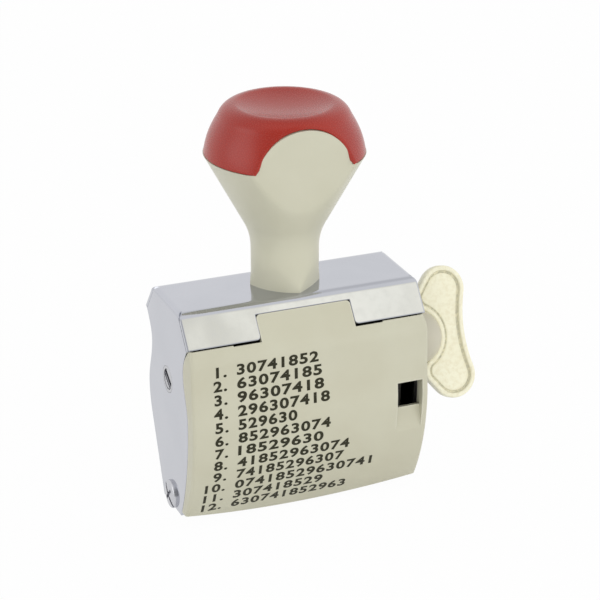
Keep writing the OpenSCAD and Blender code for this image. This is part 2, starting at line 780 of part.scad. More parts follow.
module drum_pin() {
    color(steel) on_shaft() translate([drum_mid, 0, 0])
        cylinder(h = 2 * (drum_r - flute_r), r = shaft_r / 3 - shaft_fit, center = true);
}

module band_drum() {
    color(dark) difference() {
        on_shaft() bar(drum_left, drum_right, drum_r);
        for (i = [0 : flute_count - 1]) on_shaft() rotate([i * 360 / flute_count, 0, 0])
            translate([0, 0, drum_r + flute_r / 3]) bar(-far, far, flute_r);
        shaft_bore(fixed_bore);
        pin_hole();
    }
}

module raised_bar(x, length, depth, height, way) {
    place = loop_at(way);
    translate([x, place[0][0], place[0][1]]) rotate([place[1] - 90, 0, 0])
        translate([-length / 2, -depth / 2, -type_sink]) cube([length, depth, height + type_sink]);
}

module text_band() {
    color(dark) {
        difference() {
            slab(band_x0, band_x1) polygon(loop_outline(band_t));
            slab(band_x0 - over, band_x1 + over) polygon(loop_outline(0));
        }
        for (i = [0 : line_count - 1]) {
            raised_bar(type_x, type_w, type_d, type_h, i * loop_len / line_count);
            raised_bar(pad_x, pad_w, type_d, pad_h, i * loop_len / line_count);
        }
    }
}

module platen() {
    corner = [for (a = steps(270, 360, 6))
        [edge_y + platen_edge_r * cos(a), platen_edge_r * (1 + sin(a))]];
    far_corner = [for (p = back_to_front(corner)) [-p[0], p[1]]];
    color(steel) difference() {
        slab(-inner_w, inner_w) translate([platen_y, platen_z])
            polygon(concat(corner, [[platen_w / 2, platen_h], [-platen_w / 2, platen_h]], far_corner));
        both_sides() translate([0, platen_y, platen_screw_z])
            bar(inner_w - platen_screw_len - over, far, platen_screw_r + screw_fit);
    }
}

module platen_screws() {
    color(steel) both_sides() translate([0, platen_y, platen_screw_z]) difference() {
        union() {
            bar(half_w, half_w + platen_head_h, platen_head_r);
            bar(inner_w - platen_screw_len, half_w + eps, platen_screw_r);
        }
        translate([half_w + platen_head_h, 0, 0]) {
            cube([platen_head_h, slot_w, 3 * platen_head_r], center = true);
            cube([platen_head_h, cross_len, slot_w], center = true);
        }
    }
}

// Detent

module detent_cam() {
    color(steel) difference() {
        on_shaft() translate([cam_x, 0, 0]) rotate([0, 90, 0]) rotate([0, 0, 30])
            cylinder(h = cam_t, r = cam_flats / 2 / cos(30), $fn = 6);
        shaft_bore(fixed_bore);
    }
}

module detent_spring() {
    root_x = handle_washer_r + leaf_bend;
    upper = [[handle_washer_r, leaf_top], [-root_x, leaf_top], [leaf_leg_x + leaf_bend, leaf_crown],
        [leaf_leg_x - leaf_t / 2, leaf_crown - leaf_bend / 2], [leaf_leg_x - leaf_t / 2, leaf_foot + leaf_t],
        [cam_x, leaf_foot + leaf_t]];
    under = [[cam_x, leaf_foot], [leaf_leg_x + leaf_t / 2, leaf_foot],
        [leaf_leg_x + leaf_t / 2, leaf_crown - leaf_bend / 2 - leaf_t],
        [leaf_leg_x + leaf_bend, leaf_crown - leaf_t],
        [-root_x, leaf_top - leaf_t], [handle_washer_r, leaf_top - leaf_t]];
    color(steel) difference() {
        sheet_along_y(-leaf_w / 2, leaf_w / 2) polygon(concat(upper, under));
        cylinder(h = far, r = handle_screw_r + screw_fit);
    }
}

housing();
front_cover();
rear_cover();
handle_body();
handle_cap();
handle_screw();
handle_washer();
left_bush();
right_bush();
drive_shaft();
wing_key();
key_washer();
thrust_washer();
retaining_clip();
band_drum();
drum_pin();
detent_cam();
detent_spring();
text_band();
platen();
platen_screws();
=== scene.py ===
"""Looks of a text stamp: chromed housing, moulded covers, mushroom handle and wing key.

Shapes are worked out in millimetres, +Z up, with the print face on Z = 0, and put into meshes in metres.
"""

import logging
import math
from dataclasses import dataclass
from enum import Enum
from itertools import product
from typing import Any, Optional, Sequence

import bmesh
import bpy
import numpy as np
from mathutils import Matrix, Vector


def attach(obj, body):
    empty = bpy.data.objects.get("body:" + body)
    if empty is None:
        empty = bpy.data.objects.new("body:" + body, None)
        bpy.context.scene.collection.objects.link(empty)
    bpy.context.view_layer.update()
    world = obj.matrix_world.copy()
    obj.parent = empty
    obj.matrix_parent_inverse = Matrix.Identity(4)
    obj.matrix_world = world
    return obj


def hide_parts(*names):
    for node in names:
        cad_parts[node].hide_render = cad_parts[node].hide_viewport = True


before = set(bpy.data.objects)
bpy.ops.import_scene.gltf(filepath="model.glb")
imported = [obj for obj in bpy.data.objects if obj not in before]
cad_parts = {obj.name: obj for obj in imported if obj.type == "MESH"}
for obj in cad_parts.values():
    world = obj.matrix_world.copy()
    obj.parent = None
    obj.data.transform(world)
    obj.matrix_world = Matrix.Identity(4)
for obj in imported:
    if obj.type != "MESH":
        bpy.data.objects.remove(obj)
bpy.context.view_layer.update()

Array = np.ndarray
Values = float | Array
Span = tuple[float, float]
Place = tuple[float, float, float]
Colour = tuple[float, float, float]
Part = tuple[Array, list[list[int]]]
Object = bpy.types.Object
Socket = bpy.types.NodeSocket

MM = 0.001
WELD = 2e-6
SHAFT_Z = 34.6
EDGE_SEGMENTS = 2
EDGE_ANGLE = math.radians(50.0)
WHITE = (1.0, 1.0, 1.0)
log = logging.getLogger("stamp")


# Shared geometry

def unit(vector: Array) -> Array:
    """A vector divided by its length."""
    return vector / np.linalg.norm(vector)


def coords(*values: Values) -> Array:
    """Points from their coordinates, which are spread to one shape."""
    return np.stack(np.broadcast_arrays(*values), -1)


def quarter(count: int) -> Array:
    """Even angles from 0 to a right angle."""
    return np.linspace(0.0, math.pi / 2, count)


def full_turn(count: int) -> Array:
    """Even directions all the way round."""
    return np.linspace(0.0, 2 * math.pi, count, endpoint=False)


def shares(spans: int) -> Array:
    """Even shares of a whole, from the end of its first span to 1."""
    return np.linspace(0.0, 1.0, spans + 1)[1:]


def circle_height(radius: Values, run: Values) -> Array:
    """Height of a circle over its middle line at a run from its centre, and 0 outside it."""
    return np.sqrt(np.maximum(radius * radius - run * run, 0.0))


def sag(radius: Values, run: Values) -> Array:
    """Drop of a circle from its tangent after a run along it."""
    return radius - circle_height(radius, run)


def arc_radius(run: float, drop: float) -> float:
    """Radius of the circle that has a drop from its tangent after a run."""
    return (run * run + drop * drop) / (2 * drop)


def soft_min(a: Array, b: Array, blend: float) -> Array:
    """The lesser of two values, with the crossing rounded over the blend length."""
    return (a + b - np.sqrt((a - b) ** 2 + blend * blend)) / 2


def rounded(corners: Sequence[Sequence[float]], radii: Sequence[float], steps: int = 8) -> Array:
    """Open line through corners, each inner corner turned by an arc tangent to both of its sides.

    Args:
        corners: points of the line.
        radii: one radius for each inner corner.
        steps: spans along each arc.

    Returns:
        Points of the line, ends included.
    """
    points = np.asarray(corners, float)
    line = [points[:1]]
    turn = np.linspace(0.0, 1.0, steps + 1)[:, None]
    for before, at, after, radius in zip(points[:-2], points[1:-1], points[2:], radii):
        a, b = unit(before - at), unit(after - at)
        half = math.acos(float(np.clip(a @ b, -1.0, 1.0))) / 2
        sweep = math.pi - 2 * half
        centre = at + unit(a + b) * radius / math.sin(half)
        start, end = (at + side * radius / math.tan(half) - centre for side in (a, b))
        arc = np.sin((1 - turn) * sweep) * start + np.sin(turn * sweep) * end
        line.append(centre + arc / math.sin(sweep))
    return np.concatenate([*line, points[-1:]])


def line_way(line: Array) -> Array:
    """Way along a line at each of its points."""
    return np.concatenate([[0.0], np.cumsum(np.linalg.norm(np.diff(line, axis=0), axis=1))])


def along(line: Array, way: Array) -> Array:
    """Points of a line at given ways along it, in an array of any shape."""
    at = line_way(line)
    return coords(*(np.interp(way, at, column) for column in line.T))


def laid_out(spans: Sequence[tuple[Array, str]]) -> tuple[Array, Array]:
    """Places on both sides of the middle, from named spans on one side, and each place's name."""
    x = np.concatenate([places for places, _ in spans])
    names = np.array([name for places, name in spans for _ in places])
    return np.concatenate([-x[:0:-1], x]), np.concatenate([names[:0:-1], names])


def grid(points: Array, wrap_v: bool = False, keep: Optional[Array] = None) -> Part:
    """Quads between neighbours of a grid of points, closed round on itself where asked.

    Args:
        points: grid of shape (u, v, 3).
        wrap_v: joins the last column to the first.
        keep: which quads to keep, all of them if not given.

    Returns:
        Points as a list, and the faces.
    """
    ids = np.arange(points.shape[0] * points.shape[1]).reshape(points.shape[:2])
    ids = np.hstack([ids, ids[:, :1]]) if wrap_v else ids
    quads = np.stack([ids[:-1, :-1], ids[1:, :-1], ids[1:, 1:], ids[:-1, 1:]], axis=-1)
    return points.reshape(-1, 3), (quads.reshape(-1, 4) if keep is None else quads[keep]).tolist()


def revolve_x(profile: Array, centre: Span, spans: int = 96) -> Part:
    """Turns a profile of (x, r) round a line along X through a place (y, z)."""
    turn, x, r = full_turn(spans), profile[:, :1], profile[:, 1:]
    return grid(coords(x, centre[0] + r * np.cos(turn), centre[1] + r * np.sin(turn)), wrap_v=True)


def slot_x(ends: Span, size: Span, turn: float, centre: Span) -> Part:
    """A closed bar to cut a slot into an end face, turned round a line along X.

    Args:
        ends: its two ends on X.
        size: its length and its width.
        turn: angle of its length from Y.
        centre: place of the line, as (y, z).

    Returns:
        A grid of four corners carried from pole to pole.
    """
    (near, far), (length, width) = sorted(ends), size
    ring = [[near, -length / 2], [far, -length / 2], [far, length / 2], [near, length / 2]]
    pole = [[(near + far) / 2, 0.0]] * len(ring)
    x, y = np.moveaxis(np.array([pole, ring, ring, pole]), -1, 0)
    z, c, s = np.array([[-1], [-1], [1], [1]]) * width / 2, math.cos(turn), math.sin(turn)
    return grid(coords(x, centre[0] + c * y - s * z, centre[1] + s * y + c * z), wrap_v=True)


def mesh_object(name: str, parts: Sequence[Part], core: Optional[Place] = None) -> Object:
    """Joins parts into one mesh, welds their seams and poles and turns the faces outwards.

    Args:
        name: name of the piece.
        parts: points in millimetres and faces.
        core: for an open sheet, a point in millimetres from which its faces look away.

    Returns:
        The new object, at the origin.
    """
    points = np.concatenate([p for p, _ in parts]) * MM
    starts = np.cumsum([0] + [len(p) for p, _ in parts[:-1]])
    faces = [[i + int(start) for i in face] for start, (_, part) in zip(starts, parts) for face in part]
    mesh = bpy.data.meshes.new(name)
    mesh.from_pydata(points.tolist(), [], faces)
    shape = bmesh.new()
    shape.from_mesh(mesh)
    bmesh.ops.remove_doubles(shape, verts=shape.verts, dist=WELD)
    bmesh.ops.dissolve_degenerate(shape, edges=shape.edges, dist=WELD / 4)
    bmesh.ops.recalc_face_normals(shape, faces=shape.faces)
    if core is not None:
        middle = Vector(core) * MM
        away = sum(f.normal.dot(f.calc_center_median() - middle) * f.calc_area() for f in shape.faces)
        if away < 0:
            bmesh.ops.reverse_faces(shape, faces=shape.faces)
    shape.verts.index_update()
    shape.to_mesh(mesh)
    shape.free()
    made = bpy.data.objects.new(name, mesh)
    bpy.context.scene.collection.objects.link(made)
    return made


def smooth(made: Object, sharp: float = 35.0) -> Object:
    """Shades a mesh smooth, and sharp where two faces meet at more than an angle in degrees."""
    made.data.polygons.foreach_set("use_smooth", np.ones(len(made.data.polygons), bool))
    made.data.set_sharp_from_angle(angle=math.radians(sharp))
    return made


def settle(made: Object) -> None:
    """Puts an object's modifiers into its mesh, and shades it smooth."""
    depsgraph = bpy.context.evaluated_depsgraph_get()
    old = made.data
    mesh = bpy.data.meshes.new_from_object(made.evaluated_get(depsgraph), depsgraph=depsgraph)
    made.modifiers.clear()
    made.data = mesh
    bpy.data.meshes.remove(old)
    mesh.name = made.name
    smooth(made)


def sheet_object(name: str, parts: Sequence[Part], core: Place, wall: float, edge: float = 0.0,
                 even: bool = False) -> Object:
    """An open sheet, with a wall on its inner side and its sharp edges rounded.

    Args:
        name: name of the piece.
        parts: points in millimetres and faces.
        core: point from which its faces look away.
        wall: thickness of the wall.
        edge: width of the rounding, none if 0.
        even: keeps the wall's thickness where faces meet at an angle.

    Returns:
        The new object, with its modifiers in its mesh.
    """
    made = mesh_object(name, parts, core)
    solid = made.modifiers.new("wall", "SOLIDIFY")
    solid.thickness, solid.offset, solid.use_even_offset = wall * MM, -1.0, even
    if edge:
        bevel = made.modifiers.new("edges", "BEVEL")
        bevel.width, bevel.segments = edge * MM, EDGE_SEGMENTS
        bevel.limit_method, bevel.angle_limit = "ANGLE", EDGE_ANGLE
    settle(made)
    return made


def cut(made: Object, parts: Sequence[Part]) -> None:
    """Cuts closed parts from a piece, and deletes the tool."""
    tool = mesh_object("tool", parts)
    boolean = made.modifiers.new("tool", "BOOLEAN")
    boolean.operation, boolean.object, boolean.solver = "DIFFERENCE", tool, "EXACT"
    settle(made)
    mesh = tool.data
    bpy.data.objects.remove(tool)
    bpy.data.meshes.remove(mesh)


# Finishes

def linear(red: int, green: int, blue: int) -> Colour:
    """Linear colour of an sRGB colour given in steps of 255."""
    share = np.array([red, green, blue]) / 255.0
    value = np.where(share <= 0.04045, share / 12.92, ((share + 0.055) / 1.055) ** 2.4)
    return tuple(float(v) for v in value)


class Nodes:
    """Builder for the nodes of one tree."""

    def __init__(self, tree: bpy.types.NodeTree) -> None:
        """Empties the tree of a material or of the surroundings, and keeps it."""
        self.tree = tree
        tree.nodes.clear()

    def node(self, kind: str, sockets: dict[Any, Any], **settings: Any) -> bpy.types.Node:
        """Adds a node.

        Args:
            kind: Blender's name of the node.
            sockets: values or other nodes' outputs, by input.
            settings: the node's own properties.

        Returns:
            The node.
        """
        made = self.tree.nodes.new(kind)
        for key, value in settings.items():
            setattr(made, key, value)
        self.feed(made, sockets)
        return made

    def feed(self, made: bpy.types.Node, sockets: dict[Any, Any]) -> None:
        """Sets a node's inputs to values, or links them to outputs."""
        for key, value in sockets.items():
            if isinstance(value, Socket):
                self.tree.links.new(value, made.inputs[key])
            else:
                made.inputs[key].default_value = value

    def span(self, value: Socket, ends: Span, to: Span = (0.0, 1.0), way: str = "LINEAR") -> Socket:
        """Carries a range of a value to another range, and holds its ends."""
        sockets = {"Value": value, "From Min": ends[0], "From Max": ends[1], "To Min": to[0], "To Max": to[1]}
        return self.node("ShaderNodeMapRange", sockets, interpolation_type=way).outputs[0]

    def sum(self, a: Any, b: Any, way: str = "ADD") -> Socket:
        """Sum of two values, or another operation on them."""
        return self.node("ShaderNodeMath", {0: a, 1: b}, operation=way).outputs[0]

    def dot(self, a: Any, b: Any) -> Socket:
        """Scalar product of two vectors."""
        return self.node("ShaderNodeVectorMath", {0: a, 1: b}, operation="DOT_PRODUCT").outputs["Value"]

    def blend(self, share: Socket, a: Any, b: Any) -> Socket:
        """Vector between two vectors."""
        return self.node("ShaderNodeMix", {0: share, 4: a, 5: b}, data_type="VECTOR").outputs[1]

    def ray(self, kind: str) -> Socket:
        """1 for rays of a kind, and 0 for others."""
        return self.node("ShaderNodeLightPath", {}).outputs[kind]


class Graph(Nodes):
    """Builder for the nodes of one material with one Principled shader."""

    def __init__(self, name: str) -> None:
        """Makes an empty material with a name, a shader and its output."""
        self.material = bpy.data.materials.new(name)
        self.material.use_nodes = True
        super().__init__(self.material.node_tree)
        self.shader = self.node("ShaderNodeBsdfPrincipled", {})
        self.node("ShaderNodeOutputMaterial", {"Surface": self.shader.outputs["BSDF"]})
        self.place = self.node("ShaderNodeTexCoord", {}).outputs["Object"]

    def noise(self, size: float, stretch: Sequence[float] = (1, 1, 1), detail: float = 3.0) -> Socket:
        """Noise from 0 to 1 with features of a size in millimetres, stretched along the axes."""
        scale = [1.0 / (size * MM * s) for s in stretch]
        mapped = self.node("ShaderNodeMapping", {"Vector": self.place, "Scale": scale}).outputs[0]
        sockets = {"Vector": mapped, "Scale": 1.0, "Detail": detail}
        return self.node("ShaderNodeTexNoise", sockets).outputs["Fac"]

    def mix(self, share: Socket, a: Any, b: Any) -> Socket:
        """Colour between two colours."""
        opaque = [(*c, 1.0) if isinstance(c, tuple) else c for c in (a, b)]
        return self.node("ShaderNodeMix", {0: share, 6: opaque[0], 7: opaque[1]}, data_type="RGBA").outputs[2]

    def edge(self, radius: float, ends: Span) -> Socket:
        """Nearness of an edge from 0 to 1: how far a rounded normal leans from the face's own."""
        eased = self.node("ShaderNodeBevel", {"Radius": radius * MM}, samples=6).outputs[0]
        own = self.node("ShaderNodeNewGeometry", {}).outputs["Normal"]
        return self.span(self.dot(eased, own), ends)

    def hollow(self, reach: float, ends: Span = (0.95, 0.45)) -> Socket:
        """Depth in a groove from 0 to 1: how much of the sky the piece itself hides within a reach, used to
        paint shade into grooves.
        """
        seen = self.node("ShaderNodeAmbientOcclusion", {"Distance": reach * MM}, only_local=True, samples=8)
        return self.span(seen.outputs["AO"], ends)

    def bump(self, height: Socket, depth: float, strength: float, under: Optional[Socket] = None) -> Socket:
        """Normal of a relief with a depth in millimetres, laid over another normal if given."""
        sockets = {"Height": height, "Distance": depth * MM, "Strength": strength}
        if under is not None:
            sockets["Normal"] = under
        return self.node("ShaderNodeBump", sockets).outputs[0]


WHOLE: Span = (0.0, 1.0)
MOST_NOISE: Span = (0.3, 0.7)


@dataclass(frozen=True)
class Plated:
    """Bright plated or turned metal, with faint ripples, smears and dulled edges."""

    name: str
    colour: Colour
    haze: Colour
    rough: Span
    ripple: float
    ripple_size: float
    brush: Sequence[float] = (1, 1, 1)
    cloud_size: float = 22.0
    cloud_ends: Span = (0.35, 0.65)
    smear_size: float = 1.6
    smear_ends: Span = (0.55, 0.8)
    smear_share: float = 0.35
    scratch_size: float = 0.25
    scratch_depth: float = 0.004
    scratch_share: float = 0.35
    edge_size: float = 0.35
    edge_ends: Span = (0.98, 0.75)
    dulled: float = 0.12

    def material(self) -> bpy.types.Material:
        """Builds the material's nodes."""
        made = Graph(self.name)
        cloud = made.noise(self.cloud_size, detail=2.0)
        smear = made.noise(self.smear_size, self.brush, detail=5.0)
        scratch = made.noise(self.scratch_size, self.brush, detail=2.0)
        edge_nearness = made.edge(self.edge_size, self.edge_ends)
        colour = made.mix(made.span(cloud, self.cloud_ends), self.colour, self.haze)
        colour = made.mix(made.span(smear, self.smear_ends, (0.0, self.smear_share)), colour, self.haze)
        rough = made.sum(made.span(smear, MOST_NOISE, self.rough), made.sum(edge_nearness, self.dulled, "MULTIPLY"))
        wave = made.bump(made.noise(self.ripple_size, detail=1.0), self.ripple, 1.0)
        relief = made.bump(scratch, self.scratch_depth, self.scratch_share, wave)
        made.feed(made.shader, {"Base Color": colour, "Metallic": 1.0, "Roughness": rough, "Normal": relief})
        return made.material


@dataclass(frozen=True)
class Coat:
    """Plastic, rubber or ink: clouds, specks, an edge colour, painted shade in grooves and a grain, each left
    out if its share is 0.
    """

    name: str
    colour: Colour
    cloud: Colour
    edge: Colour
    rough: Span = (0.34, 0.46)
    grain: float = 0.35
    grain_depth: float = 0.012
    grain_share: float = 0.5
    grain_detail: float = 4.0
    specular: float = 0.5
    edge_size: float = 0.3
    edge_ends: Span = (0.985, 0.8)
    edge_share: float = 0.6
    polish: float = -0.1
    groove: Optional[Colour] = None
    groove_shade_reach: float = 1.2
    spark: float = 0.0
    spark_size: float = 0.9
    spark_ends: Span = (0.43, 0.67)
    clouding: float = 1.0
    cloud_size: float = 16.0
    cloud_ends: Span = (0.35, 0.68)
    cloud_detail: float = 3.0
    speck_size: float = 0.5
    speck_ends: Span = (0.68, 0.78)
    speck_share: float = 0.25
    wave_size: float = 7.0
    wave_depth: float = 0.03
    wave_share: float = 0.5

    def material(self) -> bpy.types.Material:
        """Builds the material's nodes."""
        made, wave = Graph(self.name), None
        grain = made.noise(self.grain, detail=self.grain_detail)
        rough = made.span(grain, MOST_NOISE, self.rough)
        flow = made.noise(self.cloud_size, detail=self.cloud_detail)
        colour = made.mix(made.span(flow, self.cloud_ends, (0.0, self.clouding)), self.colour, self.cloud)
        if self.speck_share:
            speck = made.noise(self.speck_size, detail=2.0)
            colour = made.mix(made.span(speck, self.speck_ends, (0.0, self.speck_share)), colour, self.cloud)
        # Edge colour: dust on rubber and paler edges on the handle and cap, but a painted highlight along the
        # covers' rounded edges and painted shade along the key's edges.
        if self.edge_share:
            edge_nearness = made.edge(self.edge_size, self.edge_ends)
            colour = made.mix(made.span(edge_nearness, WHOLE, (0.0, self.edge_share)), colour, self.edge)
            rough = made.sum(rough, made.sum(edge_nearness, self.polish, "MULTIPLY"))
        # Painted shade: the groove colour darkens grooves and hollows by how much of the sky the piece hides
        # there.
        if self.groove:
            colour = made.mix(made.hollow(self.groove_shade_reach), colour, self.groove)
        if self.spark:
            spark = made.noise(self.spark_size, detail=5.0)
            colour = made.mix(made.span(spark, self.spark_ends, (0.0, self.spark)), colour, self.cloud)
        if self.wave_share:
            wave = made.bump(made.noise(self.wave_size, detail=1.0), self.wave_depth, self.wave_share)
        relief = made.bump(grain, self.grain_depth, self.grain_share, wave)
        made.feed(made.shader, {"Base Color": colour, "Roughness": rough, "Normal": relief,
                                "Specular IOR Level": self.specular})
        return made.material


def rubber(name: str, colour: Colour, dust: Colour, grain: float = 0.4) -> Coat:
    """Dark rubber or dull dark moulding, with dust in its grain and greyed edges."""
    return Coat(name, colour, dust, dust, (0.55, 0.8), grain, 0.03, grain_share=0.6, grain_detail=3.0,
                edge_size=0.25, edge_ends=(0.98, 0.8), edge_share=0.5, polish=0.0, clouding=0.6,
                cloud_size=3.0, cloud_ends=(0.45, 0.75), cloud_detail=5.0, speck_share=0.0, wave_share=0.0)


class Finish(Enum):
    """The finishes of the part, by the record's material slot."""

    plated_sheet = Plated("plated_sheet", (0.545, 0.555, 0.60), (0.515, 0.527, 0.572), (0.04, 0.11),
                          0.09, 11.0)
    # The covers' edge colour is a painted highlight along their rounded edges.
    cream_moulding = Coat("cream_moulding", linear(207, 205, 184), linear(202, 199, 177),
                          linear(226, 225, 210), edge_size=0.8)
    handle_moulding = Coat("handle_moulding", linear(210, 208, 187), linear(205, 203, 181),
                           linear(218, 216, 198), (0.28, 0.4))
    red_cap = Coat("red_cap", linear(166, 31, 0), linear(159, 26, 0), linear(190, 70, 40), (0.2, 0.32),
                   0.3, 0.003, specular=0.58)
    # The key's edge colour is painted shade along its edges, and its groove colour paints shade into the
    # grooves beside the beads.
    key_moulding = Coat("key_moulding", linear(255, 252, 226), linear(244, 238, 207),
                        linear(226, 225, 214), (0.26, 0.5), 0.5, 0.1, edge_size=0.5,
                        groove=linear(140, 135, 104), spark=0.85, clouding=0.4)
    dark_moulding = rubber("dark_moulding", linear(38, 38, 40), linear(70, 69, 68))
    band_rubber = rubber("band_rubber", linear(92, 90, 86), linear(126, 123, 116), 0.6)
    shaft_steel = Plated("shaft_steel", (0.58, 0.585, 0.61), (0.48, 0.48, 0.50), (0.14, 0.3),
                         0.008, 2.0, (1, 8, 8))
    screw_steel = Plated("screw_steel", (0.60, 0.605, 0.635), (0.50, 0.50, 0.53), (0.14, 0.3),
                         0.012, 2.5, (6, 1, 1))
    spring_steel = Plated("spring_steel", (0.50, 0.50, 0.52), (0.36, 0.36, 0.38), (0.18, 0.34),
                          0.01, 4.0, (9, 1, 1))
    platen_metal = Plated("platen_metal", (0.55, 0.55, 0.56), (0.42, 0.42, 0.43), (0.28, 0.45),
                          0.01, 5.0, (9, 1, 1))


# Painted shade: a darker copy of the key's moulding for the hub, standing in for the shade that falls on it
# beside the housing.
HUB_SHADED_COAT = Coat("hub_shaded_moulding", linear(206, 201, 182), linear(199, 194, 175), linear(214, 210, 192),
                (0.3, 0.42))
PRINT_INK = Coat("print_ink", linear(44, 43, 26), linear(54, 52, 36), linear(54, 52, 36), (0.4, 0.6), 0.12,
                 0.008, grain_share=0.4, grain_detail=2.0, specular=0.25, cloud_size=0.8,
                 cloud_ends=(0.4, 0.75), cloud_detail=4.0, edge_share=0.0, speck_share=0.0, wave_share=0.0)
MATERIALS: dict[str, bpy.types.Material] = {}


def dress(made: Object, finish: Any) -> None:
    """Gives an object the one material of a finish, which is built at its first use."""
    if finish.name not in MATERIALS:
        MATERIALS[finish.name] = finish.material()
    made.data.materials.clear()
    made.data.materials.append(MATERIALS[finish.name])


class Body(Enum):
    """The bodies that pieces ride on."""

    STAMP = "stamp"
    DRIVE = "drive"


def hand_over(made: Object, body: Body, finish: Finish, nodes: Sequence[str] = (),
              coat: Optional[Any] = None) -> None:
    """Dresses a piece, rides it on its body and hides the nodes that it stands for.

    Args:
        made: the piece.
        body: body that it rides on.
        finish: finish that it wears, named after its material slot; not used when a coat is given.
        nodes: CAD nodes that it replaces.
        coat: another finish to show instead, such as ink.
    """
    dress(made, coat or finish.value)
    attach(made, body.value)
    if nodes:
        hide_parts(*nodes)
    log.info("%s: %d faces on %s", made.name, len(made.data.polygons), body.value)


# The stamp's side outline

@dataclass(frozen=True)
class SideOutline:
    """Depths from the shaft's plane at a drop below the top plate, and the sizes that they follow."""

    top: float = 55.0
    half_w: float = 30.0
    sheet: float = 1.0
    top_half: float = 9.3
    flange_half: float = 14.85
    flange_drop: float = 7.1
    corner_seam: float = 0.25
    rear_seam: float = 0.04
    waist_half: float = 10.9
    waist_drop: float = 14.5
    bulge_half: float = 13.7
    bulge_drop: float = 26.5
    toe: float = 7.6
    heel: float = 4.5
    rear_turn: float = 20.0
    plate_drop: float = 53.2
    seam: float = 0.2
    tab_half: float = 11.85
    tab_drop: float = 2.36
    tab_round: float = 1.0
    tab_points: int = 13
    corner_points: int = 9

    @property
    def flange_rise(self) -> float:
        """Depth that the flange gains for each millimetre of drop."""
        return (self.flange_half - self.top_half) / self.flange_drop

    @property
    def flange_lean(self) -> float:
        """Depth that one millimetre square to the flange takes along Y."""
        return math.hypot(1.0, self.flange_rise)

    @property
    def shoulder_drop(self) -> float:
        """Drop of the flange's inner lower edge."""
        return self.flange_drop + self.sheet * self.flange_rise / self.flange_lean

    @property
    def cover_top(self) -> float:
        """Drop of the front cover's upper edge."""
        return self.shoulder_drop + self.seam

    @property
    def tab_tip(self) -> Span:
        """Depth and drop of a tab's upper edge."""
        return float(self.flange(self.tab_drop)), self.tab_drop

    def flange(self, drop: Values, inward: float = 0.0) -> Values:
        """Depth of the flange: it grows evenly with the drop, less what a step inward takes."""
        return self.top_half + drop * self.flange_rise - inward * self.flange_lean

    def upper(self, drop: Values, seam: float) -> Array:
        """Depth of a plate's edge over the bulge: flange, quarter wave to the waist, half wave out."""
        under = self.sheet + seam
        shoulder = self.flange(self.shoulder_drop, under)
        fall = np.clip((drop - self.shoulder_drop) / (self.waist_drop - self.shoulder_drop), 0.0, 1.0)
        swell = np.clip((drop - self.waist_drop) / (self.bulge_drop - self.waist_drop), 0.0, 1.0)
        neck = self.waist_half + (shoulder - self.waist_half) * (1 - np.sin(math.pi / 2 * fall))
        belly = self.waist_half + (self.bulge_half - self.waist_half) / 2 * (1 - np.cos(math.pi * swell))
        below = np.where(drop <= self.waist_drop, neck, belly)
        return np.where(drop <= self.shoulder_drop, self.flange(drop, under), below)

    def front(self, drop: Values) -> Array:
        """Depth of a plate's front edge: one arc from the bulge to the toe."""
        radius = arc_radius(self.plate_drop - self.bulge_drop, self.bulge_half - self.toe)
        arc = self.bulge_half - sag(radius, np.maximum(drop - self.bulge_drop, 0.0))
        return np.where(drop <= self.bulge_drop, self.upper(drop, self.corner_seam), arc)

    def rear(self, drop: Values) -> Array:
        """Depth of a plate's rear edge: an arc from the bulge, then a straight rake to the heel."""
        aim = (self.heel - self.bulge_half + self.rear_turn, self.plate_drop - self.bulge_drop)
        rake = math.atan2(aim[1], aim[0]) - math.acos(self.rear_turn / math.hypot(*aim))
        run, depth = self.rear_turn * math.sin(rake), self.rear_turn * (1 - math.cos(rake))
        below = np.maximum(drop - self.bulge_drop, 0.0)
        arc = self.bulge_half - sag(self.rear_turn, np.minimum(below, run))
        straight = self.bulge_half - depth - (below - run) * math.tan(rake)
        upper = self.upper(drop, self.rear_seam)
        return np.where(drop <= self.bulge_drop, upper, np.where(below <= run, arc, straight))

    def between(self, share: Array, drop: Values) -> Array:
        """Places on Y between a plate's edges, for shares from -1 at the front to 1 at the rear."""
        return share * np.where(share < 0, self.front(drop), self.rear(drop))

    def tab_places(self) -> Array:
        """Places across half of a tab, closer together round its corner."""
        straight = np.linspace(0.0, self.tab_half - self.tab_round, self.tab_points)[:-1]
        corner = self.tab_half - self.tab_round * (1 - np.sin(quarter(self.corner_points)))
        return np.concatenate([straight, corner])

    def tab_short(self, x: Array) -> Array:
        """What the rounded corner of a tab takes off its height at a place across."""
        over = np.clip(np.abs(x) - (self.tab_half - self.tab_round), 0.0, self.tab_round)
        return sag(self.tab_round, over)

    def upper_rows(self, lines: dict[str, Array], x: Array, kinds: Array, own: int, common: float = 0.0,
                   shared: int = 0) -> Array:
        """Rows up a cover's upper lines, at each place across.

        The first rows lie at the same ways on all the lines, and the others share out what is left of each.

        Args:
            lines: lines of (depth, drop), by name.
            x: places across.
            kinds: name of each place's line.
            own: rows on the rest of each line.
            common: way at which the lines part.
            shared: rows up to there.

        Returns:
            Depths and drops, of shape (rows, places, 2).
        """
        low = np.linspace(0.0, common, shared + 1)[1:, None]
        points = np.zeros((shared + own, len(x), 2))
        for name, line in lines.items():
            here = kinds == name
            rest = line_way(line)[-1] - common - self.tab_short(x[here]) * (name == "tab")
            ways = [np.broadcast_to(low, (shared, here.sum())), common + shares(own)[:, None] * rest]
            points[:, here] = along(line, np.vstack(ways))
        return points


OUTLINE = SideOutline()


# Housing

